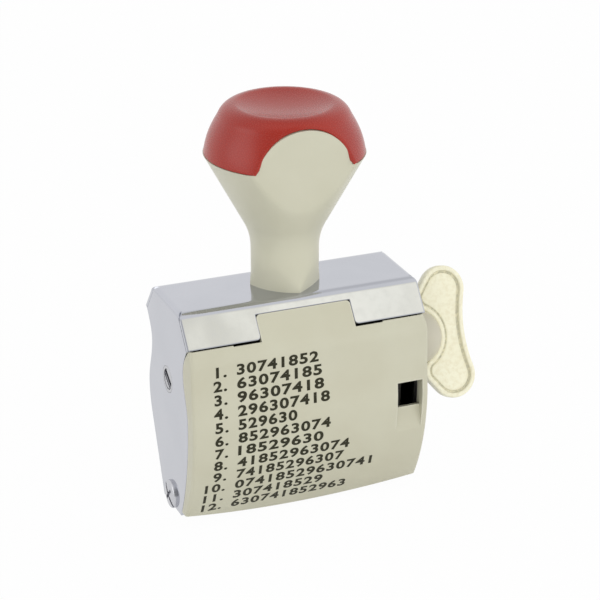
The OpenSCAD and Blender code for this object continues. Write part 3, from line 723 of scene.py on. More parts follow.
@dataclass
class Housing:
    """One bent sheet: a flat top, slanted front and rear flanges with a notch each, and two side plates."""

    outline: SideOutline = OUTLINE
    flange_bend: float = 2.8
    end_bend: float = 1.3
    corner_run: float = 3.0
    draw_from: float = 24.0
    notch_half: float = 11.9
    notch_drop: float = 2.3
    notch_round: float = 1.0
    edge_round: float = 0.14
    edge_hold: float = 0.35
    shaft_hole: float = 3.3
    last_row: float = 0.95
    strip_rows: int = 16
    turn_points: int = 5
    beside_points: int = 13
    notch_points: int = 18
    bend_points: int = 8
    shoulder_points: int = 8
    plate_points: int = 64
    spans_y: int = 24

    def beside(self) -> Array:
        """Places across the half of a flange beside its notch, from the notch's rounded corner to the end."""
        turn = self.notch_half + np.linspace(0.0, self.notch_round, self.turn_points)
        outer = np.linspace(turn[-1], self.outline.half_w - self.edge_hold, self.beside_points)[1:]
        return np.concatenate([turn, outer, [self.outline.half_w]])

    def across(self) -> Array:
        """Places across a whole flange."""
        middle = np.linspace(-self.notch_half, self.notch_half, self.notch_points)[1:-1]
        return np.concatenate([-self.beside()[::-1], middle, self.beside()])

    def spread(self, x: Array, way: Values) -> Array:
        """Places across, drawn in near the ends: most at the start of a way, and not at all after a run."""
        bend = self.end_bend * (1 - np.sin(math.pi / 2 * np.clip(way / self.corner_run, 0.0, 1.0)))
        outer = np.clip((np.abs(x) - self.draw_from) / (self.outline.half_w - self.draw_from), 0.0, 1.0)
        return x - np.sign(x) * bend * outer

    def flange_line(self, side: int) -> Array:
        """Line of (y, drop) from the top, through the bend and down the flange."""
        o = self.outline
        start = float((o.front if side < 0 else o.rear)(0.0))
        return rounded([(start, 0.0), (o.top_half, 0.0), (o.flange_half, o.flange_drop)], [self.flange_bend])

    def strip(self, side: int, x: Array, start: float, end: Values) -> Part:
        """A strip of the flange: ways from start to end along its line, at places across it.

        Args:
            side: -1 for the front and 1 for the rear.
            x: places across the strip.
            start: way at which it starts.
            end: way at which it ends, at each place.

        Returns:
            The strip's grid.
        """
        share = np.append(np.linspace(0.0, self.last_row, self.strip_rows), 1.0)
        way = start + share[:, None] * (end - start)
        line = along(self.flange_line(side), way)
        return grid(coords(self.spread(x, way), side * line[..., 0], self.outline.top - line[..., 1]))

    def flange_parts(self, side: int) -> list[Part]:
        """A flange: whole above the notch and in two halves beside it, with rounded lower corners."""
        line, beside = self.flange_line(side), self.beside()
        ways = line_way(line)
        notch = float(np.interp(self.notch_drop, line[:, 1], ways))
        run = np.maximum(self.notch_half + self.notch_round - beside, 0.0)
        end = ways[-1] - sag(self.notch_round, run)
        return [self.strip(side, self.across(), 0.0, notch), self.strip(side, beside, notch, end),
                self.strip(side, -beside, notch, end)]

    def top_part(self) -> Part:
        """The flat of the top between the flanges and the end bends."""
        o, share = self.outline, np.linspace(-1.0, 1.0, self.spans_y + 1)[:, None]
        return grid(coords(self.spread(self.across(), 0.0), o.between(share, 0.0), o.top))

    def plate_part(self, side: int) -> Part:
        """A side plate: a quarter bend out of the top, then straight down, spread between its two edges."""
        o, r, turn = self.outline, self.end_bend, quarter(self.bend_points)
        low = np.concatenate([np.linspace(r, o.shoulder_drop, self.shoulder_points)[1:],
                              np.linspace(o.shoulder_drop, o.plate_drop, self.plate_points)[1:]])
        x = np.concatenate([o.half_w - r + r * np.sin(turn), np.full(len(low), o.half_w)])[:, None]
        drop = np.concatenate([r * (1 - np.cos(turn)), low])[:, None]
        share = np.linspace(-1.0, 1.0, self.spans_y + 1)
        return grid(coords(side * x, o.between(share, drop), o.top - drop))

    def build(self) -> None:
        """Builds the sheet, bores the shaft's holes, and lets its flats shade as flats beside their edges."""
        parts = [self.top_part(), *self.flange_parts(-1), *self.flange_parts(1),
                 self.plate_part(-1), self.plate_part(1)]
        made = sheet_object("housing_sheet", parts, (0.0, 0.0, self.outline.top / 2), self.outline.sheet,
                            self.edge_round, even=True)
        reach = 2 * self.outline.half_w
        bore = np.array([[-reach, 0.0], [-reach, self.shaft_hole], [reach, self.shaft_hole], [reach, 0.0]])
        cut(made, [revolve_x(bore, (0.0, SHAFT_Z))])
        made.modifiers.new("shade", "WEIGHTED_NORMAL").keep_sharp = True
        hand_over(made, Body.STAMP, Finish.plated_sheet, ["housing"])


# Covers

@dataclass
class FrontCover:
    """Moulded cover: a face between two returns, a ledge under the flange, a tab and a window."""

    outline: SideOutline = OUTLINE
    reach: float = 17.86
    lip: float = 17.0
    toe: float = 9.7
    wall: float = 1.2
    lift: float = 0.85
    smile: float = 2.4
    corner: float = 0.8
    corner_share: float = 0.9
    least_return: float = 0.02
    lip_turn: float = 5.0
    edge_turn: float = 0.3
    turn_gap: float = 0.1
    seam_gap: float = 0.25
    slit_gap: float = 0.52
    slit_len: float = 7.05
    ledge: float = 1.4
    draw_in: float = 0.25
    most_in: float = 1.9
    window_w: float = 6.5
    window_h: float = 7.2
    window_edge: float = 1.6
    window_drop: float = 23.2
    recess_depth: float = 2.9
    recess_len: float = 12.8
    blend_drop: float = 12.0
    near: float = 0.01
    foot_rows: int = 21
    ramp_rows: int = 7
    open_rows: int = 7
    shoulder_points: int = 13
    shared_rows: int = 14
    own_rows: int = 14
    slit_points: int = 9
    plain_points: int = 5
    window_points: int = 10
    corner_points: int = 8
    return_spans: int = 4
    recess_points: int = 5

    def face(self, drop: Values) -> Array:
        """Depth of the face: a parabola from the lip to the bulge, then an arc to the toe."""
        o = self.outline
        radius = arc_radius(o.top - self.lift - o.bulge_drop, self.reach - self.toe)
        share = (drop - o.cover_top) / (o.bulge_drop - o.cover_top)
        arc = self.reach - sag(radius, np.maximum(drop - o.bulge_drop, 0.0))
        return np.where(drop <= o.bulge_drop, self.lip + (self.reach - self.lip) * share ** 2, arc)

    def foot(self, x: Array) -> Array:
        """Drop of the lower edge, which hangs in an arc and is lowest in the middle."""
        return self.outline.top - self.lift - sag(arc_radius(self.outline.half_w, self.smile), x)

    def below_flange(self, gap: float, inward: float = 0.0) -> Span:
        """Depth and drop of a point a gap below the flange's edge on its slope, and some way square to it."""
        o = self.outline
        run, fall = o.flange_rise / o.flange_lean, 1 / o.flange_lean
        return o.flange_half + gap * run - inward * fall, o.flange_drop + gap * fall + inward * run

    def lines(self) -> dict[str, Array]:
        """Upper lines of (depth, drop): over the lip, up the flange's slope to a ledge, a slit or the tab."""
        o = self.outline
        start = (float(self.face(self.blend_drop)), self.blend_drop)
        lip = (self.lip, (self.lip - o.top_half) / o.flange_rise)
        ledges = {name: rounded([start, lip, self.below_flange(gap), self.below_flange(gap, self.ledge)],
                                [self.lip_turn, self.edge_turn])
                  for name, gap in (("plain", self.seam_gap), ("slit", self.slit_gap))}
        return {**ledges, "tab": rounded([start, lip, o.tab_tip], [self.lip_turn])}

    @property
    def window_x(self) -> Span:
        """Places of the window's two sides."""
        outer = self.outline.half_w - self.window_edge
        return outer - self.window_w, outer

    def at_window(self, x: Array) -> Array:
        """Which places lie between the window's sides, or on them."""
        left, right = self.window_x
        return (x > left - self.near) & (x < right + self.near)

    def places(self) -> tuple[Array, Array]:
        """Places across the face, and the upper line that each follows."""
        o, (left, right) = self.outline, self.window_x
        slit = o.tab_half + self.slit_len
        return laid_out([(o.tab_places(), "tab"),
                         (np.linspace(o.tab_half, slit, self.slit_points), "slit"),
                         (np.linspace(slit, left, self.plain_points), "plain"),
                         (np.linspace(left, right, self.window_points)[1:], "plain"),
                         (np.array([o.half_w - self.corner]), "plain")])

    def level_drops(self) -> Array:
        """Drops of the level rows: up the ramp of the window's recess, its opening, and to the shoulder."""
        top, sill = self.window_drop, self.window_drop + self.window_h
        return np.concatenate([np.linspace(top + self.recess_len, sill, self.ramp_rows),
                               np.linspace(sill, top, self.open_rows + 1)[1:],
                               np.linspace(top, self.blend_drop, self.shoulder_points)[1:]])

    def high_rows(self, x: Array, kinds: Array) -> Array:
        """Rows above the face, alike on all the upper lines up to where the slit's line turns in."""
        lines = self.lines()
        slit = line_way(lines["slit"])[-1]
        common = slit - self.ledge - (math.pi / 2 - 1) * self.edge_turn - self.turn_gap
        return self.outline.upper_rows(lines, x, kinds, self.own_rows, common, self.shared_rows)

    def shell_part(self) -> Part:
        """Outer skin: rows of a line that runs from one return round a corner, over the face and back.

        The rows stretch from the arc of the lower edge to the recess, are level beside the window, and then
        follow each place's upper line. The quads in front of the recess are left out.
        """
        o, half = self.outline, self.outline.half_w
        x, kinds = self.places()
        level, foot = self.level_drops(), self.foot(x)
        share = np.linspace(0.0, 1.0, self.foot_rows + 1)[:-1, None]
        low = np.vstack([foot + share * (level[0] - foot),
                         np.broadcast_to(level[:, None], (len(level), len(x)))])
        depth, drop = np.moveaxis(np.vstack([coords(self.face(low), low), self.high_rows(x, kinds)]), -1, 0)
        side_drop, side_depth = drop[:, -1:], depth[:, -1:]
        edge = int(np.argmin(side_drop))
        under = np.hypot(side_depth - side_depth[edge], side_drop - side_drop[edge])
        under = np.where(np.arange(len(side_drop))[:, None] > edge, under, 0.0)
        inset = np.clip(self.face(side_drop) - side_depth, 0.0, self.most_in) * self.draw_in + under
        back = o.front(np.minimum(side_drop, o.plate_drop)) + o.seam
        back = np.minimum(back, side_depth - self.least_return)
        room = np.minimum(self.corner, self.corner_share * (side_depth - back))
        angle = np.linspace(math.pi / 2, 0.0, self.corner_points)[1:]
        corner_x = half - inset - room + room * np.cos(angle)
        corner_depth = side_depth - room + room * np.sin(angle)
        return_depth = corner_depth[:, -1:] + shares(self.return_spans) * (back - corner_depth[:, -1:])
        side_x = np.hstack([corner_x, np.broadcast_to(half - inset, return_depth.shape)])
        side_y = np.hstack([corner_depth, return_depth])
        side_z = np.broadcast_to(side_drop, side_x.shape)
        drawn = np.broadcast_to(x, depth.shape) * (half - inset - room) / (half - self.corner)
        face_x = np.where(np.abs(x) > o.tab_half + self.slit_len, drawn, x)
        points = coords(np.hstack([-side_x[:, ::-1], face_x, side_x]),
                        -np.hstack([side_y[:, ::-1], depth, side_y]),
                        o.top - np.hstack([side_z, drop, side_z]))
        across, up = self.at_window(points[0, :, 0]), np.arange(len(points) - 1) - self.foot_rows
        beside = (up >= 0) & (up < self.ramp_rows + self.open_rows - 1)
        return grid(points, keep=~(beside[:, None] & across[:-1] & across[1:]))

    def recess_parts(self) -> list[Part]:
        """Walls from the face to the slanted floor of the recess, and the floor below the opening."""
        x, _ = self.places()
        x, ramp = x[self.at_window(x)], self.ramp_rows
        drop = self.level_drops()[:ramp + self.open_rows]
        edge, z = -self.face(drop), self.outline.top - drop
        share = (drop - self.window_drop) / self.recess_len
        floor = (edge[-1] + self.recess_depth) * (1 - share) + edge[0] * share
        wall_y = edge + np.linspace(0.0, 1.0, self.recess_points)[:, None] * (floor - edge)
        walls = [coords(side, wall_y, z) for side in self.window_x]
        head = coords(x, wall_y[:, -1:], z[-1])
        return [grid(part) for part in (*walls, head, coords(x, floor[:ramp, None], z[:ramp, None]))]

    def build(self) -> None:
        """Builds the cover with its window."""
        made = sheet_object("front_cover_moulding", [self.shell_part(), *self.recess_parts()],
                            (0.0, self.outline.half_w, self.outline.top / 2), self.wall)
        hand_over(made, Body.STAMP, Finish.cream_moulding, ["front_cover"])


@dataclass
class RearCover:
    """Plain moulded cover that closes the back between the plates, with a tab in the rear notch."""

    outline: SideOutline = OUTLINE
    inset: float = 0.2
    wall: float = 1.4
    lift: float = 11.0
    blend_drop: float = 11.0
    edge_turn: float = 1.2
    knee_turn: float = 1.6
    edge_round: float = 0.3
    rows: int = 40
    tab_rows: int = 18
    side_points: int = 20

    def face(self, drop: Values) -> Array:
        """Depth of the face, a little inside the plates' rear edges."""
        return self.outline.rear(drop) - self.inset

    def lines(self) -> dict[str, Array]:
        """Upper lines of (depth, drop): the plain edge, and the tab that leans out to the flange."""
        o, top = self.outline, self.outline.cover_top + self.wall
        start, edge = ((float(self.face(drop)), drop) for drop in (self.blend_drop, top))
        tab = [start, edge, (o.flange_half, o.flange_drop), o.tab_tip]
        return {"plain": np.array([start, edge]), "tab": rounded(tab, [self.edge_turn, self.knee_turn])}

    def build(self) -> None:
        """Builds the cover as rows up its curved face and over the tab."""
        o = self.outline
        sides = np.linspace(o.tab_half, o.half_w - o.sheet - o.seam, self.side_points)
        x, kinds = laid_out([(o.tab_places(), "tab"), (sides, "plain")])
        low = np.linspace(o.top - self.lift, self.blend_drop, self.rows)[:, None]
        lower = np.broadcast_to(coords(self.face(low), low), (self.rows, len(x), 2))
        upper = o.upper_rows(self.lines(), x, kinds, self.tab_rows)
        depth, drop = np.moveaxis(np.vstack([lower, upper]), -1, 0)
        made = sheet_object("rear_cover_moulding", [grid(coords(x, depth, o.top - drop))],
                            (0.0, -o.half_w, o.top / 2), self.wall, self.edge_round)
        hand_over(made, Body.STAMP, Finish.cream_moulding, ["rear_cover"])


# Handle

@dataclass(frozen=True)
class FootFlat:
    """One of the handle's lowest flats: the way it faces, its distance from the axis and its bow's radius."""

    way: float
    gap: float
    bow: float


@dataclass
class Handle:
    """Mushroom handle: a turned neck and flare with flats, an arched tongue, and a dished cap over it."""

    base: float = OUTLINE.top
    neck_r: float = 8.1
    foot_r: float = 8.7
    foot_h: float = 4.0
    neck_h: float = 9.15
    neck_turn: float = 14.0
    slope: float = math.radians(28.5)
    foot_flats: Sequence[FootFlat] = (FootFlat(math.radians(-135.9), 6.83, 13.5),
                                      FootFlat(math.radians(-50.0), 6.95, 38.0))
    flat_slope: float = 0.15
    flat_curl: float = 0.012
    facet_blend: float = 0.3
    facet_slack: float = 0.006
    twist: float = math.radians(-2.9)
    cap_r: float = 18.95
    cap_z: float = 32.9
    crest_z: float = 44.6
    crest_r: float = 11.4
    cap_slope: float = math.radians(21.0)
    bulge: float = 0.55
    dish: float = 1.6
    tongue_y: float = 14.1
    tongue_r: float = 11.75
    tongue_z: float = 30.68
    tongue_stretch: float = 2.0
    flat_lean: float = math.radians(5.7)
    flat_blend: float = 0.5
    seam: float = 0.05
    arch_seam: float = 0.12
    arch_edge: float = 0.5
    rim_edge: float = 0.3
    band_w: float = 1.5
    band_fall: float = 0.4
    body_sharp: float = 40.0
    cap_sharp: float = 50.0
    foot_points: int = 13
    neck_points: int = 14
    foot_rows: int = 17
    neck_rows: int = 36
    tongue_rows: int = 16
    side_points: int = 25
    crest_points: int = 16
    dish_points: int = 18
    edge_points: int = 9
    cap_rows: int = 35
    meet_steps: int = 40
    spans: int = 192

    @property
    def rest_z(self) -> float:
        """Height of the shelf on which the cap rests."""
        return self.cap_z - self.seam

    def arch(self, x: Array, radius: float) -> Array:
        """Height of an arch round the tongue's centre at a place across."""
        return circle_height(radius, x) + self.tongue_z

    def placed(self, points: Array) -> Part:
        """A closed grid turned by the twist with which the handle is screwed on, and set on the top plate."""
        (x, y, z), c, s = np.moveaxis(points, -1, 0), math.cos(self.twist), math.sin(self.twist)
        return grid(coords(c * x - s * y, s * x + c * y, z + self.base), wrap_v=True)

    def body_line(self) -> Array:
        """Line of (radius, height): a quarter wave in from the foot, up the neck, and out along the flare."""
        rise, turn = np.linspace(0.0, 1.0, self.foot_points), np.linspace(0.0, self.slope, self.neck_points)
        flare = (self.foot_r - self.neck_r) * (1 - np.sin(math.pi / 2 * rise))
        foot = coords(self.neck_r + flare, self.foot_h * rise)
        curve = coords(self.neck_r + self.neck_turn * (1 - np.cos(turn)),
                       self.neck_h + self.neck_turn * np.sin(turn))
        r, z = curve[-1]
        rest = [[r + (self.rest_z - z) * math.tan(self.slope), self.rest_z]]
        return np.concatenate([foot, curve, rest])

    def body_part(self) -> Part:
        """Rows up the turned line, pressed to the flats, ending on the arch and closed along its ridge.

        The flats of the foot come in opposite pairs. Each is bowed, and leans and curls outwards with height:
        its distance falls by the square of the place along it over twice its radius, and grows by a slope
        times the height plus a curl times the height squared.
        """
        turn, line = full_turn(self.spans), self.body_line()
        top = np.maximum(self.arch(line[-1, 0] * np.cos(turn), self.tongue_r), self.rest_z)
        neck = np.linspace(self.foot_h, self.rest_z - self.tongue_stretch, self.neck_rows)[1:]
        low = np.concatenate([np.linspace(0.0, self.foot_h, self.foot_rows), neck])[:, None]
        height = np.vstack([np.broadcast_to(low, (len(low), self.spans)),
                            low[-1] + shares(self.tongue_rows)[:, None] * (top - low[-1])])
        radius = np.interp(height, line[:, 1], line[:, 0])
        x, y = radius * np.cos(turn), radius * np.sin(turn)
        lean = self.flat_slope * height + self.flat_curl * height ** 2
        for flat, half_turn in product(self.foot_flats, (0.0, math.pi)):
            way = flat.way + half_turn - self.twist
            c, s = math.cos(way), math.sin(way)
            out, aside = x * c + y * s, y * c - x * s
            over = out - soft_min(out, flat.gap + lean - aside ** 2 / (2 * flat.bow), self.facet_blend)
            over = np.where(out > 0.0, np.maximum(over - self.facet_slack, 0.0), 0.0)
            x, y = x - over * c, y - over * s
        limit = self.tongue_y + (height - self.rest_z) * math.tan(self.flat_lean)
        y = np.sign(y) * soft_min(np.abs(y), limit, self.flat_blend)
        pole = np.zeros((1, self.spans, 3))
        ridge = coords(np.clip(x[-1], -self.tongue_r, self.tongue_r), 0.0, top)
        return self.placed(np.concatenate([pole, coords(x, y, height), ridge[None]]))

    def cap_line(self) -> Array:
        """Line of (radius, height) up the cap's bulged side, over its crest and into the dish."""
        slope, lean = self.cap_slope, math.tan(self.cap_slope)
        tight = (self.cap_r - self.crest_r - (self.crest_z - self.cap_z) * lean) / (
            math.cos(slope) - (1 - math.sin(slope)) * lean)
        turn = np.linspace(slope, math.pi / 2, self.crest_points)
        share = np.linspace(0.0, 1.0, self.side_points)[:-1]
        crest = coords(self.crest_r + tight * np.cos(turn), self.crest_z + tight * (np.sin(turn) - 1))
        end_r, end_z = crest[0]
        side = coords(self.cap_r + (end_r - self.cap_r) * share + self.bulge * np.sin(math.pi * share),
                      self.cap_z + (end_z - self.cap_z) * share)
        r = np.linspace(self.crest_r, 0.0, self.dish_points)[1:]
        dish = coords(r, self.crest_z - self.dish + sag(arc_radius(self.crest_r, self.dish), r))
        return np.concatenate([side, crest, dish])

    def cap_part(self) -> Part:
        """Rows up the cap's line from the arch of its saddle, closed along the arch's ridge.

        The lowest rows bend in by a quarter round, which is larger along the arch than along the rim, and a
        band along the arch falls evenly towards it.
        """
        turn, line, hole = full_turn(self.spans), self.cap_line(), self.tongue_r + self.arch_seam
        crest = int(np.argmax(line[:, 1]))
        side, low = line[:crest + 1], np.full(self.spans, self.cap_z)
        for _ in range(self.meet_steps):
            x = np.interp(low, side[:, 1], side[:, 0]) * np.cos(turn)
            low = np.maximum((low + self.arch(x, hole)) / 2, self.cap_z)
        start = np.interp(low, side[:, 1], line_way(side))
        arched = np.clip(low - self.cap_z, 0.0, 1.0)
        edge = self.rim_edge + (self.arch_edge - self.rim_edge) * arched
        lift = edge * (1 - np.cos(quarter(self.edge_points)))[:, None]
        rest = shares(self.cap_rows)[:, None] * (line_way(side)[-1] - start - edge)
        past = np.vstack([lift, edge + rest])
        outer = along(side, start + past)
        outer[..., 0] -= sag(edge, edge - np.minimum(past, edge))
        outer[..., 0] -= arched * self.band_fall * np.clip(1 - past / self.band_w, 0.0, 1.0)
        dish = np.broadcast_to(line[crest + 1:, None, :], (len(line) - crest - 1, self.spans, 2))
        r, z = np.moveaxis(np.concatenate([outer, dish]), -1, 0)
        points = coords(r * np.cos(turn), r * np.sin(turn), z)
        wide = circle_height(hole, self.cap_z - self.tongue_z)
        ridge = coords(np.clip(points[0, :, 0], -wide, wide), 0.0, low)
        return self.placed(np.concatenate([ridge[None], points]))

    def build(self) -> None:
        """Builds the body and the cap."""
        body = smooth(mesh_object("handle_moulding_body", [self.body_part()]), self.body_sharp)
        cap = smooth(mesh_object("handle_cap_moulding", [self.cap_part()]), self.cap_sharp)
        hand_over(body, Body.STAMP, Finish.handle_moulding, ["handle_body"])
        hand_over(cap, Body.STAMP, Finish.red_cap, ["handle_cap"])


# Wing key

@dataclass
class WingKey:
    """Key with two wings: a sunken panel inside a raised bead on each face, and a domed hub on the shaft."""

    lean: float = math.radians(21.0)
    hub_x: float = 30.55
    hub_r: float = 6.8
    hub_len: float = 3.5
    hub_ease: float = 0.5
    hub_turn: float = 0.15
    dome_r: float = 7.05
    lobe: Span = (43.15, 10.7)
    lobe_r: float = 5.8
    root: Span = (39.2, 9.15)
    root_r: float = 3.6
    waist_x: float = 47.5
    half_t: float = 1.3
    panel: float = 0.8
    bead_w: float = 1.5
    bead_edge: float = 0.5
    groove: float = 0.2
    groove_w: float = 0.5
    sharp: float = 40.0
    points: int = 320
    arc_points: int = 40
    lobe_points: int = 60
    edge_points: int = 7
    wave_spans: int = 8
    nose_points: int = 24

    @property
    def dome_x(self) -> float:
        """Place of the dome's centre on the shaft."""
        return self.hub_x + self.hub_len

    def outline(self) -> Array:
        """Closed outline of (x, s) at even ways: arcs and tangents in turn, from the outer side's middle.

        A hollow outer side, a round lobe, a straight slant, a smaller root circle, and an arc round the dome
        that the root circle touches, then the same again on the other wing.
        """
        (lx, ls), (rx, rs) = self.lobe, self.root
        step = self.waist_x - lx
        hollow = (ls ** 2 + step ** 2 - self.lobe_r ** 2) / (2 * (self.lobe_r - step))
        centre = self.waist_x + hollow
        leave, turn_in = math.atan2(-ls, centre - lx), math.atan2(rs, rx - self.dome_x)
        slant = math.acos((self.root_r - self.lobe_r) / math.hypot(lx - rx, ls - rs))
        slant += math.atan2(ls - rs, lx - rx)
        inner = math.hypot(rs, rx - self.dome_x) - self.root_r
        arcs = [(centre, 0.0, -hollow, np.linspace(0.0, leave, self.arc_points)),
                (lx, ls, self.lobe_r, np.linspace(leave, slant, self.lobe_points)),
                (rx, rs, self.root_r, np.linspace(slant, math.pi + turn_in, self.arc_points)),
                (self.dome_x, 0.0, inner, np.linspace(turn_in, 0.0, self.arc_points))]
        half = np.concatenate([coords(x + r * np.cos(turn), s + r * np.sin(turn)) for x, s, r, turn in arcs])
        loop = np.concatenate([half, half[::-1] * [1, -1]])
        return along(loop, np.linspace(0.0, line_way(loop)[-1], self.points + 1)[:-1])

    def place(self, x: Array, s: Array, h: Array) -> Array:
        """Points of the leaned key: x along the shaft, s across the blade and h out of its face."""
        c, n = math.cos(self.lean), math.sin(self.lean)
        return coords(x, s * n - h * c, SHAFT_Z + s * c + h * n)

    def bead_line(self) -> Array:
        """Line of (inset, height): a quarter round, the crown, half a wave into the groove, the panel."""
        w, r, top, low = self.bead_w, self.bead_edge, self.half_t, self.panel
        turn, fall, crown = quarter(self.edge_points), shares(self.wave_spans), 2 * self.bead_edge
        wave = np.cos(math.pi * fall)
        outer = coords(r * (1 - np.cos(turn)), top - r + r * np.sin(turn))
        inner = coords(crown + (w - crown) * fall, top - (top - low + self.groove) * (1 - wave) / 2)
        rise = coords(w + self.groove_w * fall, low - self.groove * (1 + wave) / 2)
        return np.concatenate([outer, [[crown, top]], inner, rise])

    def blade_part(self) -> Part:
        """The bead carried round the outline on both faces, set in along its normals, and the two panels."""
        loop, line = self.outline(), self.bead_line()
        ahead = np.roll(loop, -1, axis=0) - np.roll(loop, 1, axis=0)
        normal = coords(ahead[:, 1], -ahead[:, 0]) / np.linalg.norm(ahead, axis=1)[:, None]
        full = np.concatenate([line[::-1], line * [1, -1]])
        flat = loop[None] - full[:, :1, None] * normal[None]
        nodes, faces = grid(self.place(flat[..., 0], flat[..., 1], full[:, 1:]), wrap_v=True)
        count, last = len(loop), (len(full) - 1) * len(loop)
        return nodes, faces + [list(range(count)), list(range(last + count - 1, last - 1, -1))]

    def hub_part(self) -> Part:
        """Turned hub: an eased foot, a side that swells evenly, and a nose that is half of a ball."""
        turn, x, r, ease = quarter(self.nose_points), self.hub_x, self.hub_r, self.hub_ease
        nose = coords(self.dome_x + self.dome_r * np.sin(turn), self.dome_r * np.cos(turn))
        foot = [[x, 0.0], [x, r - ease], [x + self.hub_turn, r - self.hub_turn], [x + ease, r]]
        return revolve_x(np.concatenate([foot, nose]), (0.0, SHAFT_Z))

    def build(self) -> None:
        """Builds the wings and the hub as two mouldings that turn together; the hub wears a darker copy of
        the key's moulding as painted shade.
        """
        wings = smooth(mesh_object("wing_key_moulding", [self.blade_part()]), self.sharp)
        hub = smooth(mesh_object("key_hub_moulding", [self.hub_part()]), self.sharp)
        hand_over(wings, Body.DRIVE, Finish.key_moulding, ["wing_key"])
        # The hub's darker coat is painted shade on the key's own moulding.
        hand_over(hub, Body.DRIVE, Finish.key_moulding, coat=HUB_SHADED_COAT)


# Shaft and screws

@dataclass
class DriveShaft:
    """Turned shaft from the left plate to the key's hub, with a worn slot and the clip's groove."""

    radius: float = 2.5
    left: float = -29.9
    right: float = 36.3
    chamfer: float = 0.2
    groove_x: float = 28.05
    groove_w: float = 0.6
    groove_r: float = 2.0
    slot_turn: float = math.radians(35.0)
    slot_w: float = 1.5
    slot_depth: float = 1.6
    worn_w: float = 2.2
    worn_depth: float = 0.3

    def build(self) -> None:
        """Turns the shaft, and cuts its slot with a wider, shallow cut over it for the worn edges."""
        r, c = self.radius, self.chamfer
        clip = [[self.groove_x - self.groove_w, r], [self.groove_x - self.groove_w, self.groove_r],
                [self.groove_x, self.groove_r], [self.groove_x, r]]
        line = np.array([[self.left, 0.0], [self.left, r - c], [self.left + c, r], *clip,
                         [self.right - c, r], [self.right, r - c], [self.right, 0.0]])
        made = mesh_object("drive_shaft_turned", [revolve_x(line, (0.0, SHAFT_Z))])
        for width, depth in ((self.worn_w, self.worn_depth), (self.slot_w, self.slot_depth)):
            ends = (self.left + depth, self.left - r)
            cut(made, [slot_x(ends, (4 * r, width), self.slot_turn, (0.0, SHAFT_Z))])
        hand_over(made, Body.DRIVE, Finish.shaft_steel, ["drive_shaft"])


@dataclass
class PlatenScrews:
    """Two low domed screw heads with cross slots on the plates, with their shanks in the platen."""

    face_x: float = OUTLINE.half_w
    place: Span = (-1.5, 4.8)
    head_r: float = 3.5
    head_h: float = 1.1
    lip: float = 0.45
    dome: float = 0.3
    slot_w: float = 0.8
    slot_depth: float = 0.6
    slot_turn: float = math.radians(42.0)
    short_arm: float = 4.4
    shank_r: float = 1.25
    shank_end: float = 22.0
    lip_points: int = 10
    crown_points: int = 8
    spans: int = 64

    def build(self) -> None:
        """Builds both screws and cuts a long and a short slot into each head."""
        turn, top = quarter(self.lip_points), self.face_x + self.head_h
        lip, flat = self.lip, self.head_r - self.lip
        edge = coords(top - self.dome - lip + lip * np.sin(turn), flat + lip * np.cos(turn))
        crown_r = np.linspace(flat, 0.0, self.crown_points)[1:]
        crown = coords(top - self.dome * (crown_r / flat) ** 2, crown_r)
        shank = [[self.shank_end, 0.0], [self.shank_end, self.shank_r], [self.face_x, self.shank_r],
                 [self.face_x, self.head_r]]
        line = np.concatenate([shank, edge, crown])
        parts = [revolve_x(line * [side, 1], self.place, self.spans) for side in (-1, 1)]
        made = mesh_object("platen_screw_heads", parts)
        bed = top - self.slot_depth
        for length, aim in ((3 * self.head_r, 0.0), (self.short_arm, math.pi / 2)):
            cut(made, [slot_x((side * bed, side * 2 * bed), (length, self.slot_w), self.slot_turn + aim,
                              self.place) for side in (-1, 1)])
        hand_over(made, Body.STAMP, Finish.screw_steel, ["platen_screws"])


# Printed list

